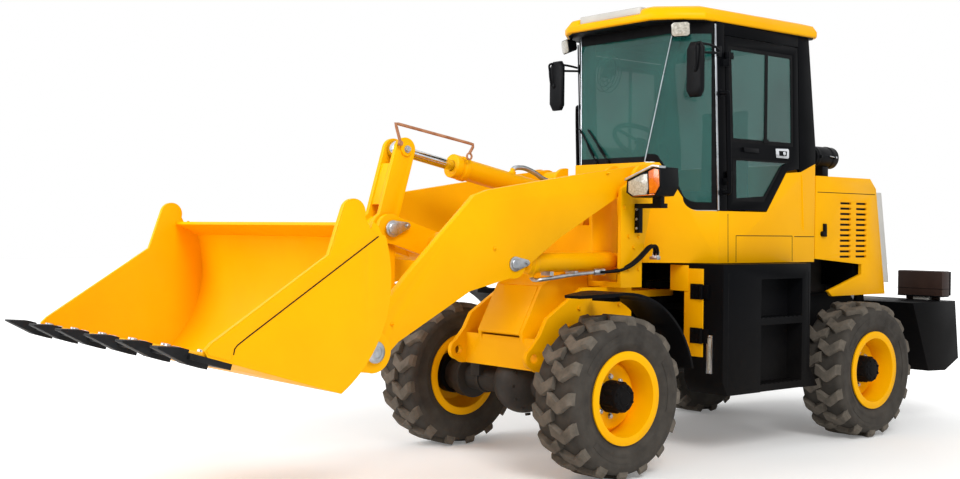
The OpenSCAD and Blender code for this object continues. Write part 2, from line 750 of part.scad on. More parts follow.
// door opening, then the door set in by its gap
open_front = corner_x - pillar_w;
lean = 46;
function opening(g) = [[open_front + lean - g, header_z - g], [-610 + g, header_z - g], [-640 + g, 1655 + g/2], [-515 + g/2, 1635 + g], [-325 + g/2, sill_z + g], [open_front - g, sill_z + g]];
function up(a, b, z) = a + (b - a)*(z - a[2])/(b[2] - a[2]);
module post(a, b) {
  intersection() {
    stick(up(a, b, a[2] - 60), up(a, b, b[2] + 60), post_d, $fn = 12);
    box([-1000, 1000], [0, 1000], [a[2], b[2]]);
  }
}
hinge_y = 16;
hinge_lean = atan(lean/(header_z - sill_z));
hinge_d = 14;
knuckle_d = 30;
knuckle_h = 40;
hinge_zs = [150, header_z - sill_z - 180];
module on_hinge(z) { translate([open_front - 2, cab_y + hinge_y, sill_z]) rotate([0, hinge_lean, 0]) translate([0, 0, z]) children(); }
module cab_frame() {
  color("#26282b") {
    both() {
      side(cab_y - sheet, cab_y) {
        polygon([[corner_x, sill_z + seam], [corner_x + lean, roof_z], [open_front + lean, roof_z], [open_front + lean, header_z], [open_front, sill_z + seam]]);
        polygon([[open_front + lean - seam, header_z], [open_front + lean - seam, roof_z], [-610 + seam, roof_z], [-610 + seam, header_z]]);
        polygon([[-610, roof_z], [-715, roof_z], [cab_rear, 1800], [cab_rear, shoulder_z + seam], shoulder_in + [0, seam], [-640, 1655], [-610, header_z]]);
      }
      for (z = hinge_zs) on_hinge(z) {
        cylinder(d = knuckle_d, h = knuckle_h);
        cylinder(d = hinge_d, h = 2*knuckle_h);
        translate([0, -hinge_y - 1, 0]) cube([42, hinge_y + 8, knuckle_h]);
      }
      post(a_low + post_in, a_top + post_in);
    }
    for (x = [[corner_x - 60, corner_x], [-715, -665]]) box(x, [-cab_y + sheet + seam, cab_y - sheet - seam], [header_z + 10, roof_z]);
  }
}
// roof outline with its edge set in by g
function roof_half(g) = [[480 - g, 330 - g/2], [420 - g, 420 - g], [260 - g/2, 560 - g], [-760 + g/2, 585 - g], [-810 + g, 540 - g]];
module roof_plan(g) { polygon(concat(roof_half(g), [for (i = [4:-1:0]) [roof_half(g)[i][0], -roof_half(g)[i][1]]])); }
bar_y = 250;
bar_z = roof_z + 44;
module roof() {
  color("#f2b41b") difference() {
    translate([0, 0, roof_z]) hull() {
      linear_extrude(height = 34) roof_plan(0);
      linear_extrude(height = 72) roof_plan(22);
      linear_extrude(height = roof_t) roof_plan(90);
    }
    box([400, 500], [-bar_y, bar_y], [bar_z, roof_z + 200]);
  }
}
module roof_bar() { color("#d9dad6") box([402, 462], [-bar_y + 4, bar_y - 4], [bar_z, bar_z + 44]); }
// flat pane with corners in order, thickened to its right-hand side
module pane(a, b, c, d) {
  n = cross(b - a, d - a);
  t = n*glass_t/norm(n);
  polyhedron([a, b, c, d, a + t, b + t, c + t, d + t], [[0, 1, 2, 3], [7, 6, 5, 4], [4, 5, 1, 0], [5, 6, 2, 1], [6, 7, 3, 2], [7, 4, 0, 3]]);
}
function flip(p) = [p[0], -p[1], p[2]];
function step(a, b, r) = a + (b - a)*r/norm(b - a);
module window(a0, a1, b0, b1, zl, zt, r) {
  a = up(a0, a1, zl);
  b = up(b0, b1, zl);
  c = up(b0, b1, zt);
  d = up(a0, a1, zt);
  pane(step(a, b, r), step(b, a, r), step(c, d, r), step(d, c, r));
}
glass_top = roof_z - 2;
b_low = [corner_x, cab_y - sheet/2, sill_z];
b_top = [corner_x + lean, cab_y - sheet/2, roof_z];
c_low = [cab_rear + 16, cab_y - sheet, 1800];
c_top = [-715 + 16, cab_y - sheet, roof_z];
// corner pane: level lines from the windscreen seam to the door pillar, in strips
strips = 8;
function on_pane(u, z) = up(a_low, a_top, z)*(1 - u) + up(b_low, b_top, z)*u;
function pane_foot(u) = let (z1 = edge_z(on_pane(u, 1500)[0]), z2 = edge_z(on_pane(u, z1)[0])) edge_z(on_pane(u, z2)[0] + glass_t + 2) + 3;
module corner_pane() {
  us = [for (i = [0:strips]) 0.006 + 0.988*i/strips];
  out = glass_t*[cos(40), sin(40), 0];
  low = [for (u = us) on_pane(u, pane_foot(u))];
  top = [for (u = us) on_pane(u, glass_top)];
  n = strips + 1;
  polyhedron(concat(low, top, [for (p = low) p + out], [for (p = top) p + out]), concat(
    [for (i = [0:strips - 1]) [i, i + 1, n + i + 1, n + i]],
    [for (i = [0:strips - 1]) [2*n + i + 1, 2*n + i, 3*n + i, 3*n + i + 1]],
    [for (i = [0:strips - 1]) [2*n + i, 2*n + i + 1, i + 1, i]],
    [for (i = [0:strips - 1]) [n + i, n + i + 1, 3*n + i + 1, 3*n + i]],
    [[0, n, 3*n, 2*n], [n - 1, 3*n - 1, 4*n - 1, 2*n - 1]]));
}
module cab_glass() {
  color("#7f99a3") {
    window(flip(a_low), flip(a_top), a_low, a_top, nose_z + seam, glass_top, 1);
    both() corner_pane();
    window(c_low, c_top, flip(c_low), flip(c_top), shoulder_z + seam, header_z + 9, seam);
  }
}
module seat() {
  color("#26282b") {
    box([-560, -80], [-240, 240], [1400, 1520]);
    box([-640, -560 - seam], [-230, 230], [1420, 2080]);
    box([-460, -160], [-180, 180], [floor_low + sheet, 1400 - seam]);
    box([-640, -600], [-150, 150], [floor_low + sheet, 1420 - seam]);
  }
}
module controls() {
  color("#26282b") {
    box([250, 400], [-180, 180], [floor_low + sheet, 1700]);
    stick([290, 0, 1622], [176, 0, 1791], 50);
    translate([170, 0, 1800]) rotate([0, -34, 0]) {
      rotate_extrude($fn = 36) translate([180, 0]) circle(d = 30, $fn = 8);
      cylinder(d = 90, h = 20, center = true);
      for (a = [90, 210, 330]) rotate([0, 0, a]) translate([20, -12, -5]) cube([160, 24, 10]);
    }
  }
}
module mirrors() {
  color("#1d1e20") both() {
    box([corner_x + 6, corner_x + 36], [cab_y, cab_y + 12], [2270, 2330]);
    stick([corner_x + 24, cab_y + 12, 2300], [345, cab_y + 8, 2290], 18);
    front(335, 365) polygon([[505, 2055], [528, 2022], [598, 2022], [622, 2060], [622, 2300], [598, 2335], [528, 2335], [505, 2300]]);
  }
}
module door_2d() { polygon(opening(door_gap)); }
module pane_up() { polygon([[open_front + 5, header_z - 55], [-560, header_z - 55], [-580, 1790], [open_front - 25, 1790]]); }
module pane_low() { polygon([[open_front - 45, 1700], [-560, 1700], [-480, 1680], [-300, sill_z + 60], [open_front - 55, sill_z + 60]]); }
module door_shape() {
  color("#26282b") {
    side(cab_y - sheet, cab_y) difference() {
      door_2d();
      pane_up();
      pane_low();
    }
    for (z = hinge_zs) on_hinge(z + knuckle_h + 1) difference() {
      union() {
        cylinder(d = knuckle_d, h = knuckle_h);
        translate([-52, -hinge_y - 1, 0]) cube([52, hinge_y + 8, knuckle_h]);
      }
      translate([0, 0, -1]) cylinder(d = hinge_d + 2*fit, h = knuckle_h + 2);
    }
  }
}
module door_panes() { color("#7f99a3") side(cab_y - sheet/2, cab_y - sheet/2 + glass_t) { pane_up(); pane_low(); } }
module door_left() { door_shape(); }
module door_left_glass() { door_panes(); }
module door_right() { mirror([0, 1, 0]) door_shape(); }
module door_right_glass() { mirror([0, 1, 0]) door_panes(); }

// Hood
hood_back = [[-1595, fin_z], [-1478, 1560]];
function back_x(z) = hood_back[0][0] + (hood_back[1][0] - hood_back[0][0])*(z - hood_back[0][1])/(hood_back[1][1] - hood_back[0][1]);
module hood_2d() {
  polygon([[hood_front, 1110], [-1320, 1070], [-1320, 1005], [-960, 905], [-1000, fin_z], hood_back[0], hood_back[1], [-1410, hood_z], [hood_front, hood_z]]);
}
module hood_in_2d() {
  polygon([[hood_front + 1, 700], [-1800, 700], [-1800, 1538], [back_x(1538) + 4, 1538], [-1402, hood_z - hood_t], [hood_front + 1, hood_z - hood_t]]);
}
slot_z = [1120, 1460];
module hood() {
  color("#f2b41b") {
    difference() {
      side(-hood_y, hood_y) hood_2d();
      side(-hood_y + hood_t, hood_y - hood_t) hood_in_2d();
      for (x = [-1195, -1370], i = [0:slot_n - 1]) translate([0, 0, slot_z[0] + i*(slot_z[1] - slot_z[0])/(slot_n - 1)])
        box([x, x + 115], [-hood_y - 1, hood_y + 1], [-7, 7]);
    }
    box([-1588, -1560], [-hood_y + hood_t - 1, hood_y - hood_t + 1], [905, 940]);
    both() side(rail_out + 30, rail_out + 55) difference() {
      union() {
        translate(hood_pin) circle(d = 56);
        bar(hood_pin, [-1574, 922], 40);
      }
      translate(hood_pin) circle(d = hood_pin_d + 2*fit);
    }
  }
}
bar_n = 10;
grille_z = [948, 1538];
module grille_2d(z0, z1, x0, x1) { polygon([[back_x(z0) - x0, z0], [back_x(z0) - x1, z0], [back_x(z1) - x1, z1], [back_x(z1) - x0, z1]]); }
module rear_grille() {
  pitch = (grille_z[1] - grille_z[0] - 60)/bar_n;
  color("#d9dad6") difference() {
    side(-hood_y, hood_y) grille_2d(grille_z[0], grille_z[1], 0, grille_t);
    for (i = [0:bar_n - 1]) side(-hood_y + 60, hood_y - 60) grille_2d(grille_z[0] + 40 + i*pitch, grille_z[0] + 40 + i*pitch + 0.62*pitch, -1, grille_t + 1);
  }
}
drum = [390, hood_z + 130];
module air_cleaner() {
  color("#1d1e20") {
    translate([0, drum[0], drum[1]]) {
      xcyl(90, -960, -900);
      xcyl(140, -1190, -959);
      xcyl(116, -1205, -1189);
    }
    box([-1110, -1050], [drum[0] - 45, drum[0] + 45], [hood_z, drum[1] - 60]);
  }
}
module lamps() {
  color("#b8322a") both() {
    box([rear_x + 60, rear_x + 150], [320, 665], [weight_z + 30, weight_z + 200]);
    for (y = [370, 565]) box([rear_x + 85, rear_x + 125], [y, y + 50], [weight_z, weight_z + 31]);
  }
}

module tyre_front_left() { color("#17181a") wheel_at(ax_f, 1) tyre_shape(); }
module rim_front_left() { color("#f2b41b") wheel_at(ax_f, 1) rim_shape(); }
module hub_front_left() { color("#1d1e20") wheel_at(ax_f, 1) hub_shape(); }
module tyre_front_right() { color("#17181a") wheel_at(ax_f, -1) tyre_shape(); }
module rim_front_right() { color("#f2b41b") wheel_at(ax_f, -1) rim_shape(); }
module hub_front_right() { color("#1d1e20") wheel_at(ax_f, -1) hub_shape(); }
module tyre_rear_left() { color("#17181a") wheel_at(ax_r, 1) tyre_shape(); }
module rim_rear_left() { color("#f2b41b") wheel_at(ax_r, 1) rim_shape(); }
module hub_rear_left() { color("#1d1e20") wheel_at(ax_r, 1) hub_shape(); }
module tyre_rear_right() { color("#17181a") wheel_at(ax_r, -1) tyre_shape(); }
module rim_rear_right() { color("#f2b41b") wheel_at(ax_r, -1) rim_shape(); }
module hub_rear_right() { color("#1d1e20") wheel_at(ax_r, -1) hub_shape(); }
module front_axle() { color("#1d1e20") axle_shape(ax_f, -1); }
module rear_axle() { color("#1d1e20") axle_shape(ax_r, 1); }

// the model's middle goes to X 0 and the tyres' lowest points to Z 0
module put() { translate([-x_mid, 0, wheel_d/2 - hub_z]) children(); }

put() rear_frame();
put() rear_axle();
put() counterweight();
put() lamps();
put() side_tanks();
put() cab_base();
put() cab_frame();
put() roof();
put() roof_bar();
put() front_covers();
put() cab_glass();
put() seat();
put() controls();
put() mirrors();
put() engine();
put() transmission();
put() hood();
put() rear_grille();
put() air_cleaner();
put() door_left();
put() door_left_glass();
put() door_right();
put() door_right_glass();
put() front_frame();
put() boom_tower();
put() front_axle();
put() fenders();
put() headlamps();
put() front_shaft();
put() boom();
put() tilt_lever();
put() level_rod();
put() bucket_link();
put() bucket();
put() cutting_edge();
put() tilt_barrel();
put() tilt_rod();
put() lift_barrels();
put() lift_rods();
put() steer_barrel_left();
put() steer_rod_left();
put() steer_barrel_right();
put() steer_rod_right();
put() tyre_front_left();
put() rim_front_left();
put() hub_front_left();
put() tyre_front_right();
put() rim_front_right();
put() hub_front_right();
put() tyre_rear_left();
put() rim_rear_left();
put() hub_rear_left();
put() tyre_rear_right();
put() rim_rear_right();
put() hub_rear_right();
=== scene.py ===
import json
import math
import bmesh
import bpy
from mathutils import Matrix, Vector


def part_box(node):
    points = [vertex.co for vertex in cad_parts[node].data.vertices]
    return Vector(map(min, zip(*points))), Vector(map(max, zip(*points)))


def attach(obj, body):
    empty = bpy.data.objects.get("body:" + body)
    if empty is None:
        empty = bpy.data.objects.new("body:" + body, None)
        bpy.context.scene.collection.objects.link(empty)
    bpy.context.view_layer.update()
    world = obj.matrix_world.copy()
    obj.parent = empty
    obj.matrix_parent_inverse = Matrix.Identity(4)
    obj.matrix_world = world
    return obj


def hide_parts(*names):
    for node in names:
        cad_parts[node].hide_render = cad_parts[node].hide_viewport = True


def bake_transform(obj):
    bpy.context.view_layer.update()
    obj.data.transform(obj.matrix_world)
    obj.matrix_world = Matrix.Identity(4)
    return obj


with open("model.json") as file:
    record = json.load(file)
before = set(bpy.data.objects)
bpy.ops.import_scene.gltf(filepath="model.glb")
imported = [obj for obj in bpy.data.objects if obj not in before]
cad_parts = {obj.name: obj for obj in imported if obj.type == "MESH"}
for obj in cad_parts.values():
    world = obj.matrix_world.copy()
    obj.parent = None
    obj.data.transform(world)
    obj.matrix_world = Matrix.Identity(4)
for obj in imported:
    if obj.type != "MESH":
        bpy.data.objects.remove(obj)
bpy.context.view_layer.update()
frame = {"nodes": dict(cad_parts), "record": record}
print("frame loaded")

pivotX = -0.703088  # steering pivot seen from the middle of the model, metres


# A place in millimetres from the steering pivot, as the construction has it
def at(x, y, z):
    return Vector((x / 1000 + pivotX, y / 1000, z / 1000))


# Camera, floor and light
cameraSpec = {"place": (5687, 5114, 1270), "yaw": -129.74, "pitch": -0.46, "roll": 0.56, "lens": 46.28}
scene = bpy.context.scene
cameraData = bpy.data.cameras.new("camera")
cameraData.sensor_fit = "HORIZONTAL"
cameraData.sensor_width = 36.0
cameraData.lens = cameraSpec["lens"]
cameraData.clip_end = 200.0
camera = bpy.data.objects.new("camera", cameraData)
bpy.context.collection.objects.link(camera)
yaw, pitch, roll = (math.radians(cameraSpec[key]) for key in ("yaw", "pitch", "roll"))
look = Vector((math.cos(yaw) * math.cos(pitch), math.sin(yaw) * math.cos(pitch), math.sin(pitch)))
level = look.cross(Vector((0, 0, 1))).normalized()
upright = level.cross(look)
rolledRight = level * math.cos(roll) + upright * math.sin(roll)
rolledUp = upright * math.cos(roll) - level * math.sin(roll)
camera.matrix_world = Matrix.Translation(at(*cameraSpec["place"])) @ Matrix((rolledRight, rolledUp, -look)).transposed().to_4x4()
scene.camera = camera
scene.view_settings.view_transform = "Standard"


def hexLinear(text):
    values = [int(text[i:i + 2], 16) / 255 for i in (1, 3, 5)]
    return tuple(v / 12.92 if v <= 0.04045 else ((v + 0.055) / 1.055) ** 2.4 for v in values) + (1.0,)


# Adds one node: plain values go on its inputs, sockets are linked to them
def addNode(tree, kind, inputs=None, **settings):
    node = tree.nodes.new(kind)
    for key, value in settings.items():
        setattr(node, key, value)
    for key, value in (inputs or {}).items():
        if isinstance(value, bpy.types.NodeSocket):
            tree.links.new(value, node.inputs[key])
        else:
            node.inputs[key].default_value = value
    return node


lightSpec = {"ambient": 0.60, "key": 540, "fill": 440}
world = bpy.data.worlds.new("studio")
scene.world = world
world.use_nodes = True
sky = world.node_tree
sky.nodes.clear()
rays = addNode(sky, "ShaderNodeLightPath")
seen = addNode(sky, "ShaderNodeMath", {0: rays.outputs["Is Camera Ray"], 1: rays.outputs["Is Glossy Ray"]}, operation="MAXIMUM")
seenThrough = addNode(sky, "ShaderNodeMath", {0: seen.outputs[0], 1: rays.outputs["Is Transmission Ray"]}, operation="MAXIMUM")
lit = addNode(sky, "ShaderNodeBackground", {"Color": (1, 1, 1, 1), "Strength": lightSpec["ambient"]})
shown = addNode(sky, "ShaderNodeBackground", {"Color": (1, 1, 1, 1), "Strength": 1.0})
both = addNode(sky, "ShaderNodeMixShader", {0: seenThrough.outputs[0], 1: lit.outputs[0], 2: shown.outputs[0]})
addNode(sky, "ShaderNodeOutputWorld", {"Surface": both.outputs[0]})
for name, place, size in (("key", (3.5, 7.5, 7.5), 4.0), ("fill", (7.5, -3.0, 5.0), 5.0)):
    lampData = bpy.data.lights.new(name + "_light", "AREA")
    lampData.size = size
    lampData.energy = lightSpec[name]
    lamp = bpy.data.objects.new(name + "_light", lampData)
    bpy.context.collection.objects.link(lamp)
    lamp.matrix_world = Matrix.Translation(place) @ (Vector((0, 0, 1)) - Vector(place)).to_track_quat("-Z", "Y").to_matrix().to_4x4()
print("camera and light set")


# Materials
def newMaterial(name, plain):
    material = bpy.data.materials.new(name)
    material.use_nodes = True
    tree = material.node_tree
    shader = tree.nodes["Principled BSDF"]
    for key, value in plain.items():
        shader.inputs[key].default_value = value
    return material, tree, shader, addNode(tree, "ShaderNodeTexCoord").outputs["Object"]


# A surface with cloudy tone, uneven gloss, a fine relief and dust near the ground.
# cloud, patch and grain are sizes in metres; relief is the height of the grain in metres.
def surface(name, tones, gloss, plain=None, cloud=0.6, patch=0.12, grain=0.004, relief=0.0001, dust=None):
    material, tree, shader, spot = newMaterial(name, plain or {})
    clouds = addNode(tree, "ShaderNodeTexNoise", {"Vector": spot, "Scale": 1 / cloud, "Detail": 5.0, "Roughness": 0.6})
    spread = addNode(tree, "ShaderNodeMapRange", {"Value": clouds.outputs["Fac"], "From Min": 0.32, "From Max": 0.68})
    tone = addNode(tree, "ShaderNodeMixRGB", {"Fac": spread.outputs[0], "Color1": hexLinear(tones[0]), "Color2": hexLinear(tones[1])})
    colour = tone.outputs[0]
    if dust:
        height = addNode(tree, "ShaderNodeSeparateXYZ", {"Vector": spot})
        low = addNode(tree, "ShaderNodeMapRange", {"Value": height.outputs["Z"], "From Min": dust["top"], "From Max": 0.0,
            "To Max": dust["amount"]})
        speckle = addNode(tree, "ShaderNodeTexNoise", {"Vector": spot, "Scale": 1 / dust["spot"], "Detail": 8.0, "Roughness": 0.7})
        share = addNode(tree, "ShaderNodeMath", {0: low.outputs[0], 1: speckle.outputs["Fac"]}, operation="MULTIPLY")
        dusty = addNode(tree, "ShaderNodeMixRGB", {"Fac": share.outputs[0], "Color1": colour, "Color2": hexLinear(dust["colour"])})
        colour = dusty.outputs[0]
    tree.links.new(colour, shader.inputs["Base Color"])
    patches = addNode(tree, "ShaderNodeTexNoise", {"Vector": spot, "Scale": 1 / patch, "Detail": 5.0})
    shine = addNode(tree, "ShaderNodeMapRange", {"Value": patches.outputs["Fac"], "From Min": 0.3, "From Max": 0.7, "To Min": gloss[0],
        "To Max": gloss[1]})
    tree.links.new(shine.outputs[0], shader.inputs["Roughness"])
    grains = addNode(tree, "ShaderNodeTexNoise", {"Vector": spot, "Scale": 1 / grain, "Detail": 2.0})
    bumps = addNode(tree, "ShaderNodeBump", {"Height": grains.outputs["Fac"], "Strength": 0.6, "Distance": relief})
    tree.links.new(bumps.outputs["Normal"], shader.inputs["Normal"])
    return material


roadDust = {"colour": "#5E5346", "top": 1.0, "amount": 0.12, "spot": 0.05}
# Sprayed two-pack enamel on steel sheet: clean, glossy, with orange peel of about 4 mm
yellowEnamel = surface("yellow_enamel", ("#F5AD00", "#FDB800"), (0.30, 0.42), {"Specular IOR Level": 0.08}, relief=0.00012)
# The same enamel in satin black, which shows dust first
blackEnamel = surface("black_enamel", ("#08090B", "#0E0F12"), (0.30, 0.46), {"Specular IOR Level": 0.03}, patch=0.2, relief=0.00015,
    dust=roadDust)
# Sand-cast iron under black primer: a rough skin, grain about 6 mm
castIron = surface("cast_iron", ("#292725", "#3A3734"), (0.40, 0.58), {"Specular IOR Level": 0.20}, cloud=0.2, grain=0.006, relief=0.0005,
    dust=roadDust)
# Vulcanised tyre rubber, matt with a grey bloom; pores drawn at 8 mm so that they show
tyreDust = {"colour": "#726B61", "top": 1.0, "amount": 0.24, "spot": 0.03}
tyreRubber = surface("tyre_rubber", ("#2E2B28", "#433F3A"), (0.66, 0.84), {"Specular IOR Level": 0.18}, cloud=0.09, patch=0.03,
    grain=0.008, relief=0.0003, dust=tyreDust)
# The same rubber on the lugs' faces, scrubbed grey by the ground
scrubbedRubber = surface("scrubbed_tyre_rubber", ("#524D46", "#71695F"), (0.74, 0.9), {"Specular IOR Level": 0.15}, cloud=0.06,
    patch=0.03, grain=0.008, relief=0.0004, dust=tyreDust)
# Hard-chromed and ground rod: nearly a mirror, with faint bands
chromedSteel = surface("chromed_steel", ("#C9CCD1", "#E4E7EB"), (0.08, 0.18), {"Metallic": 1.0}, cloud=0.05, patch=0.02, grain=0.03,
    relief=0.00004)
# Zinc-plated fasteners and pin plates
zincSteel = surface("zinc_plated_steel", ("#9DA1A6", "#C2C5C9"), (0.28, 0.45), {"Metallic": 1.0}, cloud=0.03, patch=0.015, grain=0.004,
    relief=0.0002)
# Hardened wear steel, black from rolling and already scuffed
wearSteel = surface("rolled_wear_steel", ("#101113", "#1F2023"), (0.40, 0.60), {"Specular IOR Level": 0.15}, cloud=0.08, patch=0.04,
    grain=0.007, relief=0.0004, dust=roadDust)
# Moulded ABS with a fine leather grain of about 2 mm
blackAbs = surface("black_moulded_abs", ("#090A0C", "#121316"), (0.36, 0.52), {"Specular IOR Level": 0.08}, cloud=0.3, grain=0.002,
    relief=0.0002)
# Dark brown ABS of the tail lamp boxes: smooth and a little greasy in its shine
brownAbs = surface("brown_moulded_abs", ("#2A1B17", "#38261F"), (0.38, 0.52), {"Specular IOR Level": 0.30}, cloud=0.2, grain=0.003,
    relief=0.0002)
# Off-white ABS, matt and slightly yellowed
paleAbs = surface("pale_moulded_abs", ("#B9B7B1", "#CBC9C3"), (0.38, 0.52), {"Specular IOR Level": 0.30}, cloud=0.3, grain=0.003,
    relief=0.0001)
# Extruded EPDM seal and hose rubber
sealRubber = surface("epdm_rubber", ("#0B0B0C", "#131315"), (0.50, 0.66), {"Specular IOR Level": 0.08}, cloud=0.05, grain=0.003,
    relief=0.0001)
# Anodised aluminium trim
trimAluminium = surface("anodised_aluminium", ("#A9AEB3", "#C4C9CE"), (0.25, 0.38), {"Metallic": 1.0}, cloud=0.1, grain=0.005,
    relief=0.00005)
# Copper-coloured primer on the thin level rod, worn to a paler tone
copperEnamel = surface("copper_primer", ("#98603F", "#BC8A69"), (0.35, 0.5), {"Specular IOR Level": 0.2}, cloud=0.06, relief=0.0001)
# Coated seat fabric with a coarse weave, drawn at 5 mm
seatFabric = surface("coated_seat_fabric", ("#131417", "#202126"), (0.62, 0.8), {"Specular IOR Level": 0.20, "Sheen Weight": 0.1},
    cloud=0.05, grain=0.005, relief=0.0008)
# Lamp lenses in moulded polycarbonate: clear over a reflector, amber and red
clearLens = surface("clear_polycarbonate", ("#8E8B80", "#C2BFB3"), (0.06, 0.14), {"Coat Weight": 0.8}, cloud=0.012, grain=0.016,
    relief=0.002)
amberLens = surface("amber_polycarbonate", ("#C85A0C", "#E97A1C"), (0.10, 0.18), {"Coat Weight": 0.7}, cloud=0.02, grain=0.010,
    relief=0.0012)
redLens = surface("red_polycarbonate", ("#7A120E", "#A01C16"), (0.10, 0.18), {"Coat Weight": 0.7}, cloud=0.02, grain=0.010, relief=0.0012)
# Mirror glass
silveredGlass = surface("silvered_glass", ("#BFC4C8", "#D3D8DC"), (0.02, 0.05), {"Metallic": 1.0}, cloud=0.2, grain=0.1, relief=0.00001)
# Green-tinted toughened glass: dark over the cab's inside, with a faint wave
tintedGlass = surface("green_tinted_glass", ("#154A45", "#256A62"), (0.02, 0.05),
    {"Alpha": 0.60, "IOR": 1.5, "Coat Weight": 0.3, "Coat Roughness": 0.02},
    cloud=0.8, grain=0.35, relief=0.0006)
# Matt floor paint close to white; seen from the camera it brightens to the plain white background away from the object
floorPaint = surface("pale_floor_paint", ("#F5F5F4", "#FBFBFA"), (0.75, 0.9), {"Emission Color": (1, 1, 1, 1)}, cloud=2.0, grain=0.02,
    relief=0.0001)
floorTree = floorPaint.node_tree
fromMiddle = addNode(floorTree, "ShaderNodeVectorMath", {0: addNode(floorTree, "ShaderNodeTexCoord").outputs["Object"]},
    operation="LENGTH")
away = addNode(floorTree, "ShaderNodeMapRange", {"Value": fromMiddle.outputs["Value"], "From Min": 2.0, "From Max": 6.0, "To Min": 0.16,
    "To Max": 0.75})
floorRays = addNode(floorTree, "ShaderNodeLightPath")
onlySeen = addNode(floorTree, "ShaderNodeMath", {0: away.outputs[0], 1: floorRays.outputs["Is Camera Ray"]}, operation="MULTIPLY")
floorTree.links.new(onlySeen.outputs[0], floorTree.nodes["Principled BSDF"].inputs["Emission Strength"])

slotFinish = {
    "yellow_paint": yellowEnamel, "black_paint": blackEnamel, "cast": castIron, "rubber": tyreRubber, "steel": chromedSteel,
    "wear_steel": wearSteel, "glass": tintedGlass, "plastic": blackAbs, "pale_plastic": paleAbs, "lamp_lens": brownAbs,
    "copper_paint": copperEnamel, "seat_cover": seatFabric,
}
nodeBody = {node: body for body, nodes in frame["record"]["behaviour"]["bodies"].items() for node in nodes}
nodeSlot = {subpart["node"]: subpart["material_slot"] for subpart in frame["record"]["subparts"]}
for node, slotName in nodeSlot.items():
    frame["nodes"][node].data.materials.clear()
    frame["nodes"][node].data.materials.append(slotFinish[slotName])
print("materials set")

floorReach = 40.0
floorMesh = bpy.data.meshes.new("floor")
floorMesh.from_pydata([(x * floorReach, y * floorReach, 0) for x, y in ((-1, -1), (1, -1), (1, 1), (-1, 1))], [], [(0, 1, 2, 3)])
floorMesh.materials.append(floorPaint)
floor = bpy.data.objects.new("floor", floorMesh)
bpy.context.collection.objects.link(floor)


# Mesh helpers, all in millimetres from the steering pivot
bothSides = ((1, "left"), (-1, "right"))


def bakeModifiers(obj):
    graph = bpy.context.evaluated_depsgraph_get()
    result = bpy.data.meshes.new_from_object(obj.evaluated_get(graph))
    obj.modifiers.clear()
    obj.data = result


def softenEdges(obj, width, segments=2):
    bevel = obj.modifiers.new("edges", "BEVEL")
    bevel.width = width / 1000
    bevel.segments = segments
    bevel.limit_method = "ANGLE"
    bevel.angle_limit = math.radians(35)
    bakeModifiers(obj)


def dress(obj, body, sharp=35, stands=()):
    obj.data.shade_smooth()
    obj.data.set_sharp_from_angle(angle=math.radians(sharp))
    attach(obj, body)
    if stands:
        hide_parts(*stands)
    return obj


def makeObject(name, bm, finishes):
    bmesh.ops.remove_doubles(bm, verts=bm.verts, dist=0.00001)
    bmesh.ops.recalc_face_normals(bm, faces=bm.faces)
    mesh = bpy.data.meshes.new(name)
    bm.to_mesh(mesh)
    bm.free()
    for finish in finishes:
        mesh.materials.append(finish)
    obj = bpy.data.objects.new(name, mesh)
    bpy.context.collection.objects.link(obj)
    return obj


def piece(name, bm, body, finishes, bevel=0.0, sharp=35, stands=(), segments=2):
    obj = makeObject(name, bm, finishes)
    if bevel:
        softenEdges(obj, bevel, segments)
    return dress(obj, body, sharp, stands)


# A closed skin over rings of equal length
def skin(bm, rings, finish=0, closed=False):
    loops = [[bm.verts.new(point) for point in ring] for ring in rings]
    count = len(loops[0])
    pairs = list(zip(loops, loops[1:])) + ([(loops[-1], loops[0])] if closed else [])
    faces = [bm.faces.new((one[i], one[(i + 1) % count], two[(i + 1) % count], two[i])) for one, two in pairs for i in range(count)]
    if not closed:
        faces += [bm.faces.new(loops[0]), bm.faces.new(loops[-1])]
    for face in faces:
        face.material_index = finish


# An outline drawn out along one axis
def slab(bm, outline, low, high, axis="y", finish=0):
    spots = {"y": lambda a, b, h: at(a, h, b), "x": lambda a, b, h: at(h, a, b), "z": lambda a, b, h: at(a, b, h)}[axis]
    skin(bm, [[spots(a, b, h) for a, b in outline] for h in (low, high)], finish)


def block(bm, x, y, z, finish=0):
    slab(bm, [(x[0], z[0]), (x[1], z[0]), (x[1], z[1]), (x[0], z[1])], y[0], y[1], "y", finish)


# Angles round a circle
def turnsOf(count, shift=0.0):
    return [2 * math.pi * (i + shift) / count for i in range(count)]


# A turned form: profile of (radius, height) along a direction from a foot point
def turned(bm, profile, foot, direction, sides=32, finish=0):
    axis = Vector(direction).normalized()
    across = axis.orthogonal().normalized()
    other = axis.cross(across)
    rings = []
    for radius, height in profile:
        rings.append([foot + (axis * height + (across * math.cos(a) + other * math.sin(a)) * radius) / 1000 for a in turnsOf(sides)])
    skin(bm, rings, finish)


# Points of a smooth curve through the given ones
def bendPath(points, steps=8):
    ends = [points[0]] + list(points) + [points[-1]]
    path = []
    for a, b, c, d in zip(ends, ends[1:], ends[2:], ends[3:]):
        for i in range(steps):
            t = i / steps
            path.append(0.5 * (2 * b + (c - a) * t + (2 * a - 5 * b + 4 * c - d) * t * t + (3 * b - a - 3 * c + d) * t ** 3))
    return path + [points[-1]]


def tube(bm, path, radius, sides=12, finish=0):
    rings = []
    across = None
    for i, point in enumerate(path):
        along = (path[min(i + 1, len(path) - 1)] - path[max(i - 1, 0)]).normalized()
        across = along.orthogonal().normalized() if across is None else (across - along * across.dot(along)).normalized()
        other = along.cross(across)
        rings.append([point + (across * math.cos(a) + other * math.sin(a)) * radius / 1000 for a in turnsOf(sides)])
    skin(bm, rings, finish)


def bentTube(bm, points, radius, sides=12, steps=8):
    tube(bm, bendPath([at(*point) for point in points], steps), radius, sides)


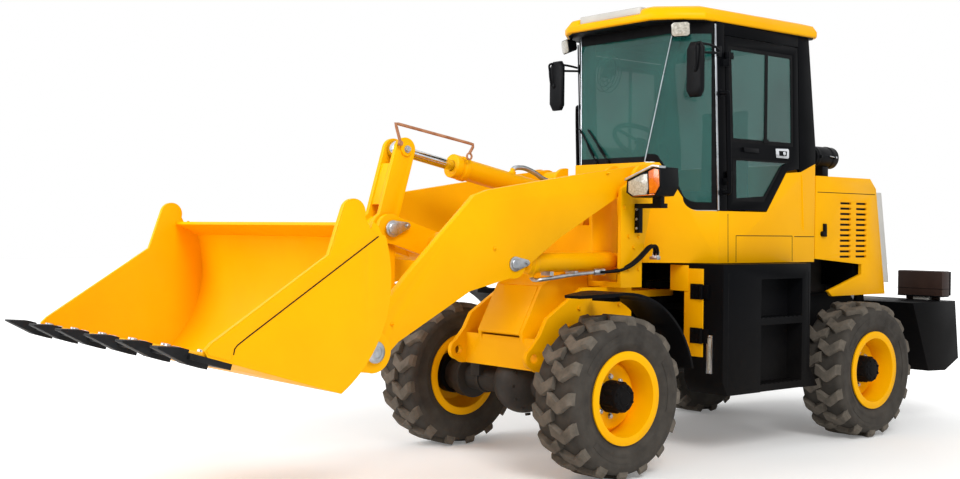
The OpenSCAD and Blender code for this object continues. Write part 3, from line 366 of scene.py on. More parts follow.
# Two equal blocks, one on each side, as one piece
def blockPair(name, x, y, z, finish, bevel):
    bm = bmesh.new()
    for side in (1, -1):
        block(bm, x, (side * y[0], side * y[1]), z)
    piece(name, bm, "rear_half", [finish], bevel=bevel)


# A thin dark line on a side face from one (x, z) to another
def seamLineOn(bm, a, b, half, low, high):
    run = Vector((b[0] - a[0], b[1] - a[1])).normalized() * half
    slab(bm, [(a[0] - run.y, a[1] + run.x), (a[0] + run.y, a[1] - run.x), (b[0] + run.y, b[1] - run.x), (b[0] - run.y, b[1] + run.x)],
        low, high)


# A hexagon bolt head with its washer
def boltHead(bm, foot, direction, size, finish=0):
    turned(bm, [(size * 0.62, 0), (size * 0.62, size * 0.1), (size * 0.5, size * 0.1)], foot, direction, 16, finish)
    turned(bm, [(size * 0.55, size * 0.09), (size * 0.55, size * 0.42), (size * 0.46, size * 0.5)], foot, direction, 6, finish)


# Geometry Nodes that repeat a piece round the wheel's axis, or in a row
def repeatTree(name, kind):
    tree = bpy.data.node_groups.new(name, "GeometryNodeTree")
    tree.interface.new_socket("Geometry", in_out="INPUT", socket_type="NodeSocketGeometry")
    tree.interface.new_socket("Count", in_out="INPUT", socket_type="NodeSocketInt")
    tree.interface.new_socket("Step", in_out="INPUT", socket_type="NodeSocketVector")
    tree.interface.new_socket("Finish", in_out="INPUT", socket_type="NodeSocketMaterial")
    tree.interface.new_socket("Geometry", in_out="OUTPUT", socket_type="NodeSocketGeometry")
    given = addNode(tree, "NodeGroupInput")
    index = addNode(tree, "GeometryNodeInputIndex")
    moved = addNode(tree, "ShaderNodeVectorMath", {0: given.outputs["Step"], "Scale": index.outputs[0]}, operation="SCALE")
    points = addNode(tree, "GeometryNodePoints", {"Count": given.outputs["Count"]})
    placed = addNode(tree, "GeometryNodeInstanceOnPoints", {"Instance": given.outputs["Geometry"], "Points": points.outputs[0]})
    if kind == "row":
        tree.links.new(moved.outputs[0], points.inputs["Position"])
    else:
        turn = addNode(tree, "FunctionNodeEulerToRotation", {0: moved.outputs[0]})
        tree.links.new(turn.outputs[0], placed.inputs["Rotation"])
    real = addNode(tree, "GeometryNodeRealizeInstances", {0: placed.outputs[0]})
    painted = addNode(tree, "GeometryNodeSetMaterial", {"Geometry": real.outputs[0], "Material": given.outputs["Finish"]})
    addNode(tree, "NodeGroupOutput", {0: painted.outputs[0]})
    return tree


rowTree = repeatTree("piecesInRow", "row")
ringTree = repeatTree("piecesInRing", "ring")


def repeated(name, bm, tree, count, step, finish, move=None):
    obj = makeObject(name, bm, [finish])
    nodes = obj.modifiers.new("repeat", "NODES")
    nodes.node_group = tree
    given = {"Count": count, "Step": step, "Finish": finish}
    for item in tree.interface.items_tree:
        if item.in_out == "INPUT" and item.name in given:
            nodes[item.identifier] = given[item.name]
    bakeModifiers(obj)
    if move:
        obj.data.transform(Matrix.Translation(move))
    return obj


# Rounded copies of the welded and pressed parts, edge radius in millimetres
edgeRadius = {
    "bucket": 4, "boom": 5, "tilt_lever": 5, "bucket_link": 6, "front_frame": 3, "boom_tower": 4, "front_axle": 6, "rear_axle": 6,
    "fenders": 5, "counterweight": 12, "side_tanks": 7, "front_covers": 3, "cab_base": 5, "cab_frame": 3, "roof": 9, "roof_bar": 6,
    "door_left": 3, "door_right": 3, "hood": 4, "rear_grille": 3, "air_cleaner": 6, "headlamps": 5, "tilt_barrel": 3, "lift_barrels": 3,
    "tilt_rod": 2, "lift_rods": 2, "steer_barrel_left": 2, "steer_barrel_right": 2, "steer_rod_left": 2, "steer_rod_right": 2,
    "engine": 8, "transmission": 8, "rear_frame": 4, "front_shaft": 3, "cutting_edge": 3, "lamps": 8, "controls": 4,
    "rim_front_left": 3, "rim_front_right": 3, "rim_rear_left": 3, "rim_rear_right": 3,
}
# The bucket is drawn in its own plane, turned about its lower pin
bucketSpec = {"pin": (2420, 700), "tilt": 17.0, "teeth": 6, "outerTooth": 794, "toothBolts": (17.6, (985, 1035)), "earCentre": (572, 490),
    "earRadius": 58, "cutterInset": 4, "cutterFaces": (850, 858)}
bucketTurn = math.radians(bucketSpec["tilt"])


def earLine(radius):
    return [(bucketSpec["earCentre"][0] + radius * math.cos(a), bucketSpec["earCentre"][1] + radius * math.sin(a))
        for a in (math.radians(turn) for turn in range(0, 181, 10))]


frontLine = [(1040, -186), (638, 285)] + earLine(bucketSpec["earRadius"]) + [(470, 446)]


def inBucket(a, y, b):
    c, s = math.cos(bucketTurn), math.sin(bucketTurn)
    return at(bucketSpec["pin"][0] + a * c - b * s, y, bucketSpec["pin"][1] + a * s + b * c)


# What stands in front of the cheeks' true front edge and over their ears is cut from the copy
def trimCheeks(obj):
    bm = bmesh.new()
    for side in (1, -1):
        skin(bm, [[inBucket(a, side * y, b) for a, b in frontLine + [(470, 700), (900, 700), (1200, 0)]] for y in (800, 900)])
    knife = makeObject("cheek_knife", bm, [])
    cut = obj.modifiers.new("cheeks", "BOOLEAN")
    cut.operation = "DIFFERENCE"
    cut.solver = "EXACT"
    cut.object = knife
    bakeModifiers(obj)
    bpy.data.objects.remove(knife)


# The fenders' inner front corners are cut off along a slanting line
def trimFenders(bm):
    for side in (1, -1):
        verts = [vert for vert in bm.verts if vert.co.y * side > 0]
        near = set(verts)
        edges = [edge for edge in bm.edges if edge.verts[0] in near]
        faces = [face for face in bm.faces if face.verts[0] in near]
        cut = bmesh.ops.bisect_plane(bm, geom=verts + edges + faces, plane_co=at(1440, side * 668, 900), plane_no=(0.5, -side * 0.866, 0),
            clear_outer=True)
        bmesh.ops.edgenet_fill(bm, edges=[item for item in cut["geom_cut"] if isinstance(item, bmesh.types.BMEdge)])


for node, radius in edgeRadius.items():
    bm = bmesh.new()
    bm.from_mesh(frame["nodes"][node].data)
    bmesh.ops.remove_doubles(bm, verts=bm.verts, dist=0.00002)
    bmesh.ops.dissolve_limit(bm, angle_limit=math.radians(0.6), verts=bm.verts, edges=bm.edges)
    if node == "fenders":
        trimFenders(bm)
    copy = makeObject(node + "_rounded", bm, [castIron if node in ("front_axle", "rear_axle") else slotFinish[nodeSlot[node]]])
    if node == "bucket":
        trimCheeks(copy)
    softenEdges(copy, radius)
    dress(copy, nodeBody[node], 35, [node])
print("rounded", len(edgeRadius), "parts")

# Tyres: a ribbed carcass with two rows of bent lugs, one row half a pitch behind the other
tyreSpec = {"radius": 420, "lugs": 16, "lugWidth": 60, "lugFlare": 5, "lugFoot": 384, "nuts": 8, "wheelbase": 2226, "track": 1310,
    "hubHeight": 420}
carcassSide = [(213, 118), (246, 123.5), (256, 127), (262, 133), (276, 139), (281, 141.5), (288, 141.5), (293, 140),
    (318, 143.5), (340, 144.5), (344, 146), (352, 146), (356, 144.5), (368, 143), (380, 136), (388, 124), (391.5, 108), (392, 80),
    (392, 30)]
carcassLine = carcassSide + [(r, -y) for r, y in reversed(carcassSide)]
# a lug's middle line: along the tread, across it, and how far its top lies under the tyre's radius
lugLine = [(-19, -13, 0), (-4, 18, 0), (18, 50, 0), (21, 62, 0), (8, 82, 0), (-14, 112, 1), (-26, 127, 5)]
lugPitch = 2 * math.pi / tyreSpec["lugs"]


def lugSpot(along, across, radius):
    angle = along / 400
    return Vector((radius * math.sin(angle), across, radius * math.cos(angle))) / 1000


# One section of a lug, from corners of (how much wider than the lug, radius), foot first
def lugSection(along, across, corners):
    edge = [(tyreSpec["lugWidth"] / 2 + wider, radius) for wider, radius in corners]
    return [lugSpot(along - reach, across, radius) for reach, radius in edge] + [
        lugSpot(along + reach, across, radius) for reach, radius in reversed(edge)]


def lugMesh(sideways):
    bm = bmesh.new()
    rings = []
    for along, across, drop in lugLine:
        top = tyreSpec["radius"] - drop
        rings.append(lugSection(along, sideways * across, [(tyreSpec["lugFlare"], tyreSpec["lugFoot"]), (1, top - 5), (-3, top)]))
    # outer end runs down the shoulder
    rings.append(lugSection(-27, sideways * 141, [(6, 366), (0, 392), (-4, 397)]))
    skin(bm, rings)
    return bm


def hubMesh(bm, outward):
    profile = [(84, 8), (84, 46), (80, 54), (76, 60), (76, 104), (70, 116), (58, 122), (40, 122), (36, 126), (20, 128), (1, 128)]
    turned(bm, profile, Vector((0, 0, 0)), (0, outward, 0), 32)
    for a in turnsOf(8, 0.5):
        turned(bm, [(19, 10), (19, 92), (15, 100)], Vector((0.066 * math.cos(a), 0, 0.066 * math.sin(a))), (0, outward, 0), 10)
        boltHead(bm, Vector((0.058 * math.cos(a), 0.118 * outward, 0.058 * math.sin(a))), (0, outward, 0), 15)


for place, x, side in (("front_left", 1, 1), ("front_right", 1, -1), ("rear_left", -1, 1), ("rear_right", -1, -1)):
    centre = at(x * tyreSpec["wheelbase"] / 2, side * tyreSpec["track"] / 2, tyreSpec["hubHeight"])
    body = "wheel_" + place
    bm = bmesh.new()
    skin(bm, [[centre + Vector((r * math.sin(a), y, r * math.cos(a))) / 1000 for r, y in carcassLine] for a in turnsOf(96)], closed=True)
    # raised panels on the side wall
    for start in (0.2, 2.3, 4.4):
        ring = [start + 0.9 * i / 14 for i in range(15)]
        skin(bm, [[centre + Vector((r * math.sin(a), side * y, r * math.cos(a))) / 1000
            for r, y in ((300, 139), (301, 143.6), (329, 145.6), (330, 141))] for a in ring])
    piece("tyre_" + place + "_carcass", bm, body, [tyreRubber], sharp=50, stands=["tyre_" + place])
    for row, sideways in ((0, side), (0.5, -side)):
        bm = lugMesh(sideways)
        bmesh.ops.rotate(bm, verts=bm.verts, cent=(0, 0, 0), matrix=Matrix.Rotation(row * lugPitch, 3, "Y"))
        lugs = repeated("tyre_%s_lugs_%d" % (place, 1 + int(2 * row)), bm, ringTree, tyreSpec["lugs"], (0, lugPitch, 0), scrubbedRubber,
            centre)
        dress(lugs, body, 30, ["tyre_" + place])
    bm = bmesh.new()
    hubMesh(bm, side)
    bmesh.ops.translate(bm, verts=bm.verts, vec=centre)
    turned(bm, [(118, -59), (118, -2), (74, -1)], centre, (0, side, 0), 48)
    piece("hub_" + place + "_casting", bm, body, [blackEnamel], stands=["hub_" + place])
    bm = bmesh.new()
    boltHead(bm, Vector((0.1016, side * 0.016, 0)), (0, side, 0), 24)
    nuts = repeated("wheel_nuts_" + place, bm, ringTree, tyreSpec["nuts"], (0, 2 * math.pi / tyreSpec["nuts"], 0), zincSteel, centre)
    dress(nuts, body)
    bm = bmesh.new()
    turned(bm, [(7, 0), (7, 12), (4, 14), (4, 44), (6, 45), (6, 54)], centre + Vector((0.150, side * 0.016, -0.06)), (0.2, side, -0.1),
        10)
    piece("tyre_valve_" + place, bm, body, [zincSteel])
print("wheels made")

# Bucket: side cutters with a painted shadow line along their seams, edge bolts, pin caps
seamLine = [(424, 432), (900, -128), (930, -165), (938, -182), (936, -205)]
cutter = [(430, 434), (904, -126), (936, -166), (944, -184), (944, -232), (1040, -232), (1052, -219), (1036, -187),
    (634, 284)] + earLine(bucketSpec["earRadius"] - bucketSpec["cutterInset"]) + [(474, 450)]
bm = bmesh.new()
for side in (1, -1):
    skin(bm, [[inBucket(a, side * y, b) for a, b in cutter] for y in bucketSpec["cutterFaces"]])
piece("bucket_side_cutters", bm, "bucket", [yellowEnamel], bevel=1.5)
# a dark rubber-coloured tube along each cutter's seam is painted shadow: the shade in the seam's gap
bm = bmesh.new()
for side in (1, -1):
    tube(bm, [inBucket(a, side * 854, b) for a, b in seamLine], 2.6, 8)
piece("bucket_cutter_seam_shadows", bm, "bucket", [sealRubber])
bm = bmesh.new()
boltShift, boltRows = bucketSpec["toothBolts"]
for shift in (-boltShift, boltShift):
    for a in boltRows:
        boltHead(bm, inBucket(a, -bucketSpec["outerTooth"] + shift, -227), Vector((-math.sin(bucketTurn), 0, math.cos(bucketTurn))), 24)
toothPitch = 2 * bucketSpec["outerTooth"] / (bucketSpec["teeth"] - 1)
bolts = repeated("bucket_edge_bolts", bm, rowTree, bucketSpec["teeth"], (0, toothPitch / 1000, 0), zincSteel)
dress(bolts, "bucket")
bm = bmesh.new()
for side in (1, -1):
    for y in (339, 437):
        turned(bm, [(52, 0), (52, 6), (46, 10), (30, 10), (26, 14), (1, 14)], inBucket(0, side * y, 0), (0, side, 0), 32)
piece("bucket_pin_caps", bm, "bucket", [zincSteel], bevel=1.5)
print("bucket dressed")


# The arm's pins as (x, z): on the tower, at the cylinders' ends, and the lever's middle, top and foot
pinSpec = {"tower": (620, 1550), "tiltBase": (670, 1420), "liftBase": (660, 1100), "liftEye": (1523, 1096), "lever": (2100, 1270),
    "leverTop": (1982, 1673), "leverFoot": (2096, 870)}


# Pin keeper plates: a teardrop with its bolt
def teardrop(bm, x, z, face, side, lean, size=42):
    points = []
    tail = size * 2.1
    for i in range(25):
        a = math.radians(60 + 240 * i / 24)
        points.append((size * math.cos(a), size * math.sin(a)))
    for i in range(9):
        a = math.radians(-60 + 120 * i / 8)
        points.append((tail + size * 0.42 * math.cos(a), size * 0.42 * math.sin(a)))
    c, s = math.cos(math.radians(lean)), math.sin(math.radians(lean))
    outline = [(x + a * c - b * s, z + a * s + b * c) for a, b in points]
    slab(bm, outline, side * face, side * (face + 9))
    turned(bm, [(size * 0.72, 8), (size * 0.72, 15), (size * 0.62, 18), (1, 18)], at(x, side * face, z), (0, side, 0), 32)
    boltHead(bm, at(x + tail * c, side * (face + 8), z + tail * s), (0, side, 0), 17)


# Direction from one (x, z) to another, and a place along that line, beside it and above it
def runOf(a, b):
    return Vector((b[0] - a[0], 0, b[1] - a[1])).normalized()


def onLine(a, b, along, y, up):
    length = math.hypot(b[0] - a[0], b[1] - a[1])
    c, s = (b[0] - a[0]) / length, (b[1] - a[1]) / length
    return at(a[0] + along * c - up * s, y, a[1] + along * s + up * c)


bm = bmesh.new()
for side in (1, -1):
    teardrop(bm, *pinSpec["lever"], 119, side, 170)
    teardrop(bm, *pinSpec["liftEye"], 385, side, 176, 38)
piece("boom_pin_keepers", bm, "boom", [zincSteel], bevel=1.5)
bm = bmesh.new()
for side in (1, -1):
    teardrop(bm, *pinSpec["tower"], 451, side, -40, 46)
piece("tower_pin_keepers", bm, "front_half", [zincSteel], bevel=1.5)
bm = bmesh.new()
for side in (1, -1):
    for x, z in (pinSpec["leverTop"], pinSpec["leverFoot"]):
        boltHead(bm, at(x, side * 76, z), (0, side, 0), 30)
piece("lever_pin_bolts", bm, "lever", [zincSteel])
# The lever's two plates are closed in front by a web below the rod's eye
leverSpec = {"web": (112, 330), "front": (44, 54), "half": 40}
leverRun = runOf(pinSpec["lever"], pinSpec["leverTop"])
leverFront = Vector((leverRun.z, 0, -leverRun.x))
bm = bmesh.new()
(webLow, webHigh), (webBack, webFace) = leverSpec["web"], leverSpec["front"]
webSpots = [(webLow, webBack), (webHigh, webBack), (webHigh, webFace), (webLow, webFace)]
leverX, leverZ = pinSpec["lever"]
skin(bm, [[at(leverX, y, leverZ) + (leverRun * a + leverFront * f) / 1000 for a, f in webSpots]
    for y in (-leverSpec["half"], leverSpec["half"])])
piece("lever_front_web", bm, "lever", [yellowEnamel], bevel=2.0)

# The level rod stands on the lever's top and runs back beside the cylinder to a hooked end with an eye
rodSpec = {"y": 84, "radius": 8, "foot": (2030, 1700), "bend": (2062, 1798), "end": (1560, 1718), "eye": (1584, 1668)}
bm = bmesh.new()
eyeX, eyeZ = rodSpec["eye"][0], rodSpec["eye"][1] - 14
rodPath = [rodSpec["foot"], (2056, 1778), rodSpec["bend"], (2044, 1796), (1596, 1725), rodSpec["end"], (1560, 1705), rodSpec["eye"]]
tube(bm, [at(x, rodSpec["y"], z) for x, z in rodPath], rodSpec["radius"], 12)
turned(bm, [(13, -8), (13, 5), (10, 8)], at(rodSpec["foot"][0], rodSpec["y"], rodSpec["foot"][1]), (0, 1, 0), 20)
eyeRing = [at(eyeX + 16 * math.cos(a), rodSpec["y"], eyeZ + 16 * math.sin(a)) for a in turnsOf(20)]
eyeCorners = ((-0.004, -0.004), (0.004, -0.004), (0.004, 0.004), (-0.004, 0.004))
skin(bm, [[spot + (spot - at(eyeX, rodSpec["y"], eyeZ)).normalized() * out + Vector((0, y, 0)) for out, y in eyeCorners]
    for spot in eyeRing], closed=True)
piece("level_rod_bar", bm, "lever", [copperEnamel], stands=["level_rod"])

# Pin bosses and grease points on the arm
bm = bmesh.new()
for side in (1, -1):
    turned(bm, [(96, 0), (96, 6), (90, 9), (1, 9)], at(bucketSpec["pin"][0], side * 385, bucketSpec["pin"][1]), (0, side, 0), 40)
    for x, z in ((1660, 1175), (860, 1585), (2290, 820)):
        turned(bm, [(9, 0), (9, 6), (5, 8), (4, 20), (2, 22)], at(x, side * 385, z), (0, side, 0), 10)
piece("boom_bosses", bm, "boom", [yellowEnamel], bevel=1.0)
print("boom dressed")


# Cylinders: gland rings, ports and pipes with their clips
tiltLine = (pinSpec["tiltBase"], pinSpec["leverTop"])
liftLine = (pinSpec["liftBase"], pinSpec["liftEye"])
tiltDirection, liftDirection = runOf(*tiltLine), runOf(*liftLine)


def pipeAlong(line, *points):
    return bendPath([onLine(*line, *point) for point in points])


bm = bmesh.new()
turned(bm, [(64, 0), (66, 4), (66, 34), (63, 38), (59, 40), (59, 46)], onLine(*tiltLine, 890, 0, 0), tiltDirection, 40)
turned(bm, [(20, 0), (20, 14), (14, 16), (14, 30), (10, 32)], onLine(*tiltLine, 560, 0, 52),
    Vector((-tiltDirection.z, 0, tiltDirection.x)), 12)
turned(bm, [(20, 0), (20, 14), (14, 16), (14, 30), (10, 32)], onLine(*tiltLine, 908, -58, 0), (0, -1, 0), 12)
piece("tilt_cylinder_ports", bm, "tilt_barrel", [yellowEnamel], bevel=1.0)
bm = bmesh.new()
tube(bm, pipeAlong(tiltLine, (908, -84, 0), (890, -92, 4), (840, -82, 10), (600, -74, 10), (210, -74, 10)), 9)
tube(bm, pipeAlong(tiltLine, (560, 0, 76), (540, 0, 92), (480, 0, 104), (400, 0, 96), (320, 0, 76), (210, 0, 72)), 14)
for along in (500, 250):
    tube(bm, [onLine(*tiltLine, along, -58, 10), onLine(*tiltLine, along, -88, 10)], 13)
piece("tilt_cylinder_pipe", bm, "tilt_barrel", [zincSteel])
bm = bmesh.new()
for side in (1, -1):
    turned(bm, [(59, 0), (61, 4), (61, 30), (56, 34)], onLine(*liftLine, 640, side * 280, 0), liftDirection, 40)
    for along in (110, 655):
        turned(bm, [(18, 0), (18, 12), (12, 14), (12, 24)], onLine(*liftLine, along, side * 280, -54), Vector((0, 0, -1)), 12)
piece("lift_cylinder_ports", bm, "lift_barrels", [yellowEnamel], bevel=1.0)
bm = bmesh.new()
for side in (1, -1):
    tube(bm, pipeAlong(liftLine, (655, side * 280, -78), (648, side * 300, -90), (610, side * 330, -86), (420, side * 345, -66),
        (230, side * 356, -53)), 11)
    tube(bm, [onLine(*liftLine, 262, side * 354, -55), onLine(*liftLine, 205, side * 375, -51)], 18)
    for along in (560, 380):
        clipX = liftLine[0][0] + along
        block(bm, (clipX, clipX + 26), (side * 282, side * 352), (1030, 1052))
piece("lift_cylinder_pipes", bm, "lift_barrels", [zincSteel])
# hoses from the pipes' rear ends to the fittings behind the tower; they bend at the lift cylinder's base pin
hoseSpec = {"radius": 8.5, "pitch": 23, "fitting": (515, 421, 1128), "plate": ((504, 533), (402, 458), (1112, 1130))}
hoseRun = [(900, 360, 1046), (850, 380, 1047), (800, 412, 1056), (750, 444, 1080), (705, 464, 1116), (665, 473, 1152), (622, 472, 1182),
    (578, 462, 1190), (542, 446, 1172), (520, 428, 1144), (514, 420, 1118)]
fitX, fitY, fitZ = hoseSpec["fitting"]
plateX, plateY, plateZ = hoseSpec["plate"]
for side, word in bothSides:
    bm = bmesh.new()
    for shift in (0, hoseSpec["pitch"]):
        tube(bm, bendPath([at(x, side * (y + shift), z) for x, y, z in hoseRun]), hoseSpec["radius"])
    hose = makeObject("lift_hoses_" + word, bm, [sealRubber])
    hose.data.shade_smooth()
    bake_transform(hose)
    bm = bmesh.new()
    block(bm, plateX, [side * y for y in plateY], plateZ)
    for shift in (0, hoseSpec["pitch"]):
        turned(bm, [(13, -14), (13, 8), (11, 10), (11, 30), (10, 32)], at(fitX, side * (fitY + shift), fitZ),
            (0.12, side * 0.25, 1), 12)
    piece("hose_fittings_" + word, bm, "front_half", [zincSteel], bevel=1.0)
print("cylinders dressed")

# Front lamps: grey brow, clear and amber lenses, bracket bolts
lampSpec = {"face": 830, "clear": [(520, 1480), (556, 1460), (648, 1464), (662, 1500), (654, 1574), (618, 1570), (520, 1535)],
    "amber": [(672, 1468), (712, 1470), (740, 1508), (735, 1594), (702, 1600), (664, 1586)],
    "amberLow": [(540, 1455), (708, 1461), (704, 1467), (556, 1457)]}
browLine = [(496, 1540), (500, 1552), (698, 1621), (748, 1614), (745, 1602), (701, 1608), (508, 1541)]
for side, word in bothSides:
    bm = bmesh.new()
    slab(bm, [(side * y, z) for y, z in browLine], 790, lampSpec["face"] + 14, "x")
    piece("headlamp_brow_" + word, bm, "front_half", [trimAluminium], bevel=2.5)
    bm = bmesh.new()
    for lens, thick, finish in (("clear", 6, 0), ("amber", 5, 1), ("amberLow", 5, 1)):
        slab(bm, [(side * y, z) for y, z in lampSpec[lens]], lampSpec["face"] - 4, lampSpec["face"] + thick, "x", finish)
    piece("headlamp_lenses_" + word, bm, "front_half", [clearLens, amberLens], bevel=2.5)
    bm = bmesh.new()
    for z in (1285, 1335, 1390):
        boltHead(bm, at(695, side * 453, z), (1, 0, 0), 14)
    piece("headlamp_bracket_bolts_" + word, bm, "front_half", [zincSteel])
print("front lamps made")


# Cab glass: borders, seam trims, wipers
def upLine(low, high, z):
    t = (z - low[2]) / (high[2] - low[2])
    return Vector([a + (b - a) * t for a, b in zip(low, high)])


seamLow, seamTop = (419, 254, 1665), (310, 376, 2470)
pillarLow, pillarTop = (120, 543, 1390), (166, 543, 2470)
cabSpec = {"noseBack": 385, "noseZ": 1665, "sill": 1390, "dip": (205, 75), "cornerTurn": math.radians(40), "glassOut": 6.5}


def edgeHeight(x):
    foot, bend = cabSpec["dip"]
    if x > cabSpec["noseBack"]:
        return cabSpec["noseZ"]
    if x > foot + bend:
        rise = cabSpec["noseZ"] - cabSpec["sill"] - bend
        return cabSpec["sill"] + bend + rise * (x - foot - bend) / (cabSpec["noseBack"] - foot - bend)
    return cabSpec["sill"] + bend - math.sqrt(bend * bend - (x - foot) ** 2) if x > foot else cabSpec["sill"]


def onCorner(u, z, out=0.0):
    spot = upLine(seamLow, seamTop, z) * (1 - u) + upLine(pillarLow, pillarTop, z) * u
    return spot + Vector((math.cos(cabSpec["cornerTurn"]), math.sin(cabSpec["cornerTurn"]), 0)) * out


def cornerFoot(u):
    z = 1500
    for step in range(4):
        z = edgeHeight(onCorner(u, z).x + 8) + 3
    return z


def sided(spot, side):
    return at(spot.x, side * spot.y, spot.z)


# A flat strip between two rows of points, thickened outwards
def strip(bm, lows, highs, out):
    skin(bm, [[a, b, b + out, a + out] for a, b in zip(lows, highs)])


steps = [i / 24 for i in range(25)]
for side, word in bothSides:
    bm = bmesh.new()
    push = Vector((math.cos(cabSpec["cornerTurn"]), side * math.sin(cabSpec["cornerTurn"]), 0)) * 0.002
    heights = [cornerFoot(1.0) + (2400 - cornerFoot(1.0)) * i / 12 for i in range(13)]
    for lows, highs in (([(u, cornerFoot(u)) for u in steps], [(u, cornerFoot(u) + 46) for u in steps]),
            ([(u, 2400) for u in steps], [(u, 2467) for u in steps]), ([(0.93, z) for z in heights], [(0.995, z) for z in heights])):
        strip(bm, *[[sided(onCorner(u, z, cabSpec["glassOut"]), side) for u, z in row] for row in (lows, highs)], push)
    piece("corner_glass_border_" + word, bm, "rear_half", [sealRubber])
    bm = bmesh.new()
    tube(bm, [sided(upLine(seamLow, seamTop, z) + Vector((7, 4, 0)), side) for z in (1668, 1900, 2200, 2466)], 3.5, 8)
    strip(bm, *[[at(x + 46 * t, side * 556, 1394 + 1060 * t) for t in (0, 0.5, 1)] for x in (122, 134)], Vector((0, side * 0.003, 0)))
    tube(bm, [sided(onCorner(u, cornerFoot(u) - 1, 9), side) for u in steps], 3.0, 8)
    piece("glass_seam_trims_" + word, bm, "rear_half", [trimAluminium])


def onFront(y, z, out=0.0):
    edge = upLine(seamLow, seamTop, z)
    return at(edge.x + 6 + out, y, z)


bm = bmesh.new()
rows = [-1 + i / 6 for i in range(13)]
forward = Vector((0.002, 0, 0))
strip(bm, [onFront(254 * t, 1668, 0.5) for t in rows], [onFront(258 * t, 1700, 0.5) for t in rows], forward)
strip(bm, [onFront(366 * t, 2405, 0.5) for t in rows], [onFront(374 * t, 2467, 0.5) for t in rows], forward)
piece("windscreen_border", bm, "rear_half", [sealRubber])
bm = bmesh.new()
for foot, tip in (((-126, 1690), (-300, 1890)), ((-30, 1690), (-225, 1880))):
    arm = [onFront(foot[0] * (1 - t) + tip[0] * t, foot[1] * (1 - t) + tip[1] * t, out)
        for t, out in ((0, 16), (0.3, 22), (0.5, 14), (0.15, 9))]
    turned(bm, [(14, 0), (14, 16), (9, 20)], onFront(foot[0], foot[1] - 14, 0), (1, 0, 0), 14)
    tube(bm, bendPath(arm[:3], 5), 5, 8)
    tube(bm, [arm[3], onFront(*tip, 9)], 6, 6)
piece("windscreen_wipers", bm, "rear_half", [blackAbs])
print("glass dressed")

# Inside the cab: fan, headliner, dash top with gauges, pedals, lever
bm = bmesh.new()
fanSpot, fanFace = at(300, -165, 2225), Vector((-1, 0.2, -0.1))
fanAxis = fanFace.normalized()
fanSide = fanAxis.orthogonal()
fanOther = fanAxis.cross(fanSide)
for radius in (82, 60, 38):
    ring = [fanSpot + (fanSide * math.cos(a) + fanOther * math.sin(a)) * radius / 1000 for a in turnsOf(28)]
    for shift in (-0.02, 0.02):
        tube(bm, [point + fanAxis * shift for point in ring + ring[:1]], 3, 6)
turned(bm, [(26, -26), (30, -20), (30, 20), (24, 26)], fanSpot, fanFace, 20)
for i in range(4):
    blade = [Vector((0.02, -0.014, -0.006)), Vector((0.074, -0.022, -0.012)), Vector((0.078, 0.02, 0.012)), Vector((0.02, 0.014, 0.006))]
    frameTurn = fanFace.to_track_quat("Z", "Y").to_matrix() @ Matrix.Rotation(i * math.pi / 2, 3, "Z")
    lift = frameTurn @ Vector((0, 0, 0.002))
    skin(bm, [[fanSpot + frameTurn @ point for point in blade], [fanSpot + frameTurn @ point + lift for point in blade]])
tube(bm, bendPath([fanSpot, at(285, -150, 2350), at(270, -140, 2465)]), 8, 8)
piece("cab_fan", bm, "rear_half", [blackAbs])
bm = bmesh.new()
liner = [(455, 320), (405, 405), (250, 540), (-750, 565), (-790, 530)]
slab(bm, liner + [(x, -y) for x, y in reversed(liner)], 2464, 2469.5, "z")
piece("roof_headliner", bm, "rear_half", [blackAbs], bevel=1.0)
bm = bmesh.new()
block(bm, (245, 405), (-190, 190), (1688, 1712))
block(bm, (238, 252), (-120, 120), (1600, 1690))
for y in (-70, 0, 70):
    turned(bm, [(26, 0), (26, 4), (22, 6), (20, 5), (1, 5)], at(238, y, 1645), (-1, 0, 0.15), 20)
for y in (-110, 110):
    bentTube(bm, [(270, y, 1130), (240, y, 1200), (215, y, 1215)], 8, 8)
    block(bm, (165, 225), (y - 35, y + 35), (1205, 1219))
bentTube(bm, [(-120, -300, 1115), (-100, -300, 1400), (-70, -295, 1560)], 9, 8)
turned(bm, [(12, 0), (18, 14), (18, 40), (12, 52)], at(-70, -295, 1550), (0.2, 0, 1), 14)
piece("dash_and_levers", bm, "rear_half", [blackAbs], bevel=2.0)

# Seat: swelled cushions over a suspension base
seatSpec = {"voxel": 0.009, "pressure": 4.0, "frames": 20, "reach": 0.020}


def swell(obj, reach):
    remesh = obj.modifiers.new("even", "REMESH")
    remesh.mode = "VOXEL"
    remesh.voxel_size = seatSpec["voxel"]
    bakeModifiers(obj)
    start = [vertex.co.copy() for vertex in obj.data.vertices]
    cloth = obj.modifiers.new("cloth", "CLOTH")
    cloth.settings.use_pressure = True
    cloth.settings.uniform_pressure_force = seatSpec["pressure"]
    cloth.settings.effector_weights.gravity = 0
    cloth.point_cache.frame_start = 1
    cloth.point_cache.frame_end = seatSpec["frames"]
    for number in range(1, seatSpec["frames"] + 1):
        scene.frame_set(number)
    bakeModifiers(obj)
    scene.frame_set(1)
    for vertex, old in zip(obj.data.vertices, start):
        move = vertex.co - old
        if move.length > reach:
            vertex.co = old + move.normalized() * reach
    fine = obj.modifiers.new("fine", "SUBSURF")
    fine.levels = fine.render_levels = 1
    bakeModifiers(obj)


def cushion(name, rings):
    bm = bmesh.new()
    skin(bm, rings)
    pad = makeObject(name, bm, [seatFabric])
    softenEdges(pad, 22, 3)
    swell(pad, seatSpec["reach"])
    dress(pad, "rear_half", 80, ["seat"])


def seatRing(x0, x1, y, z):
    return [at(x0, -y, z), at(x1, -y, z), at(x1, y, z), at(x0, y, z)]


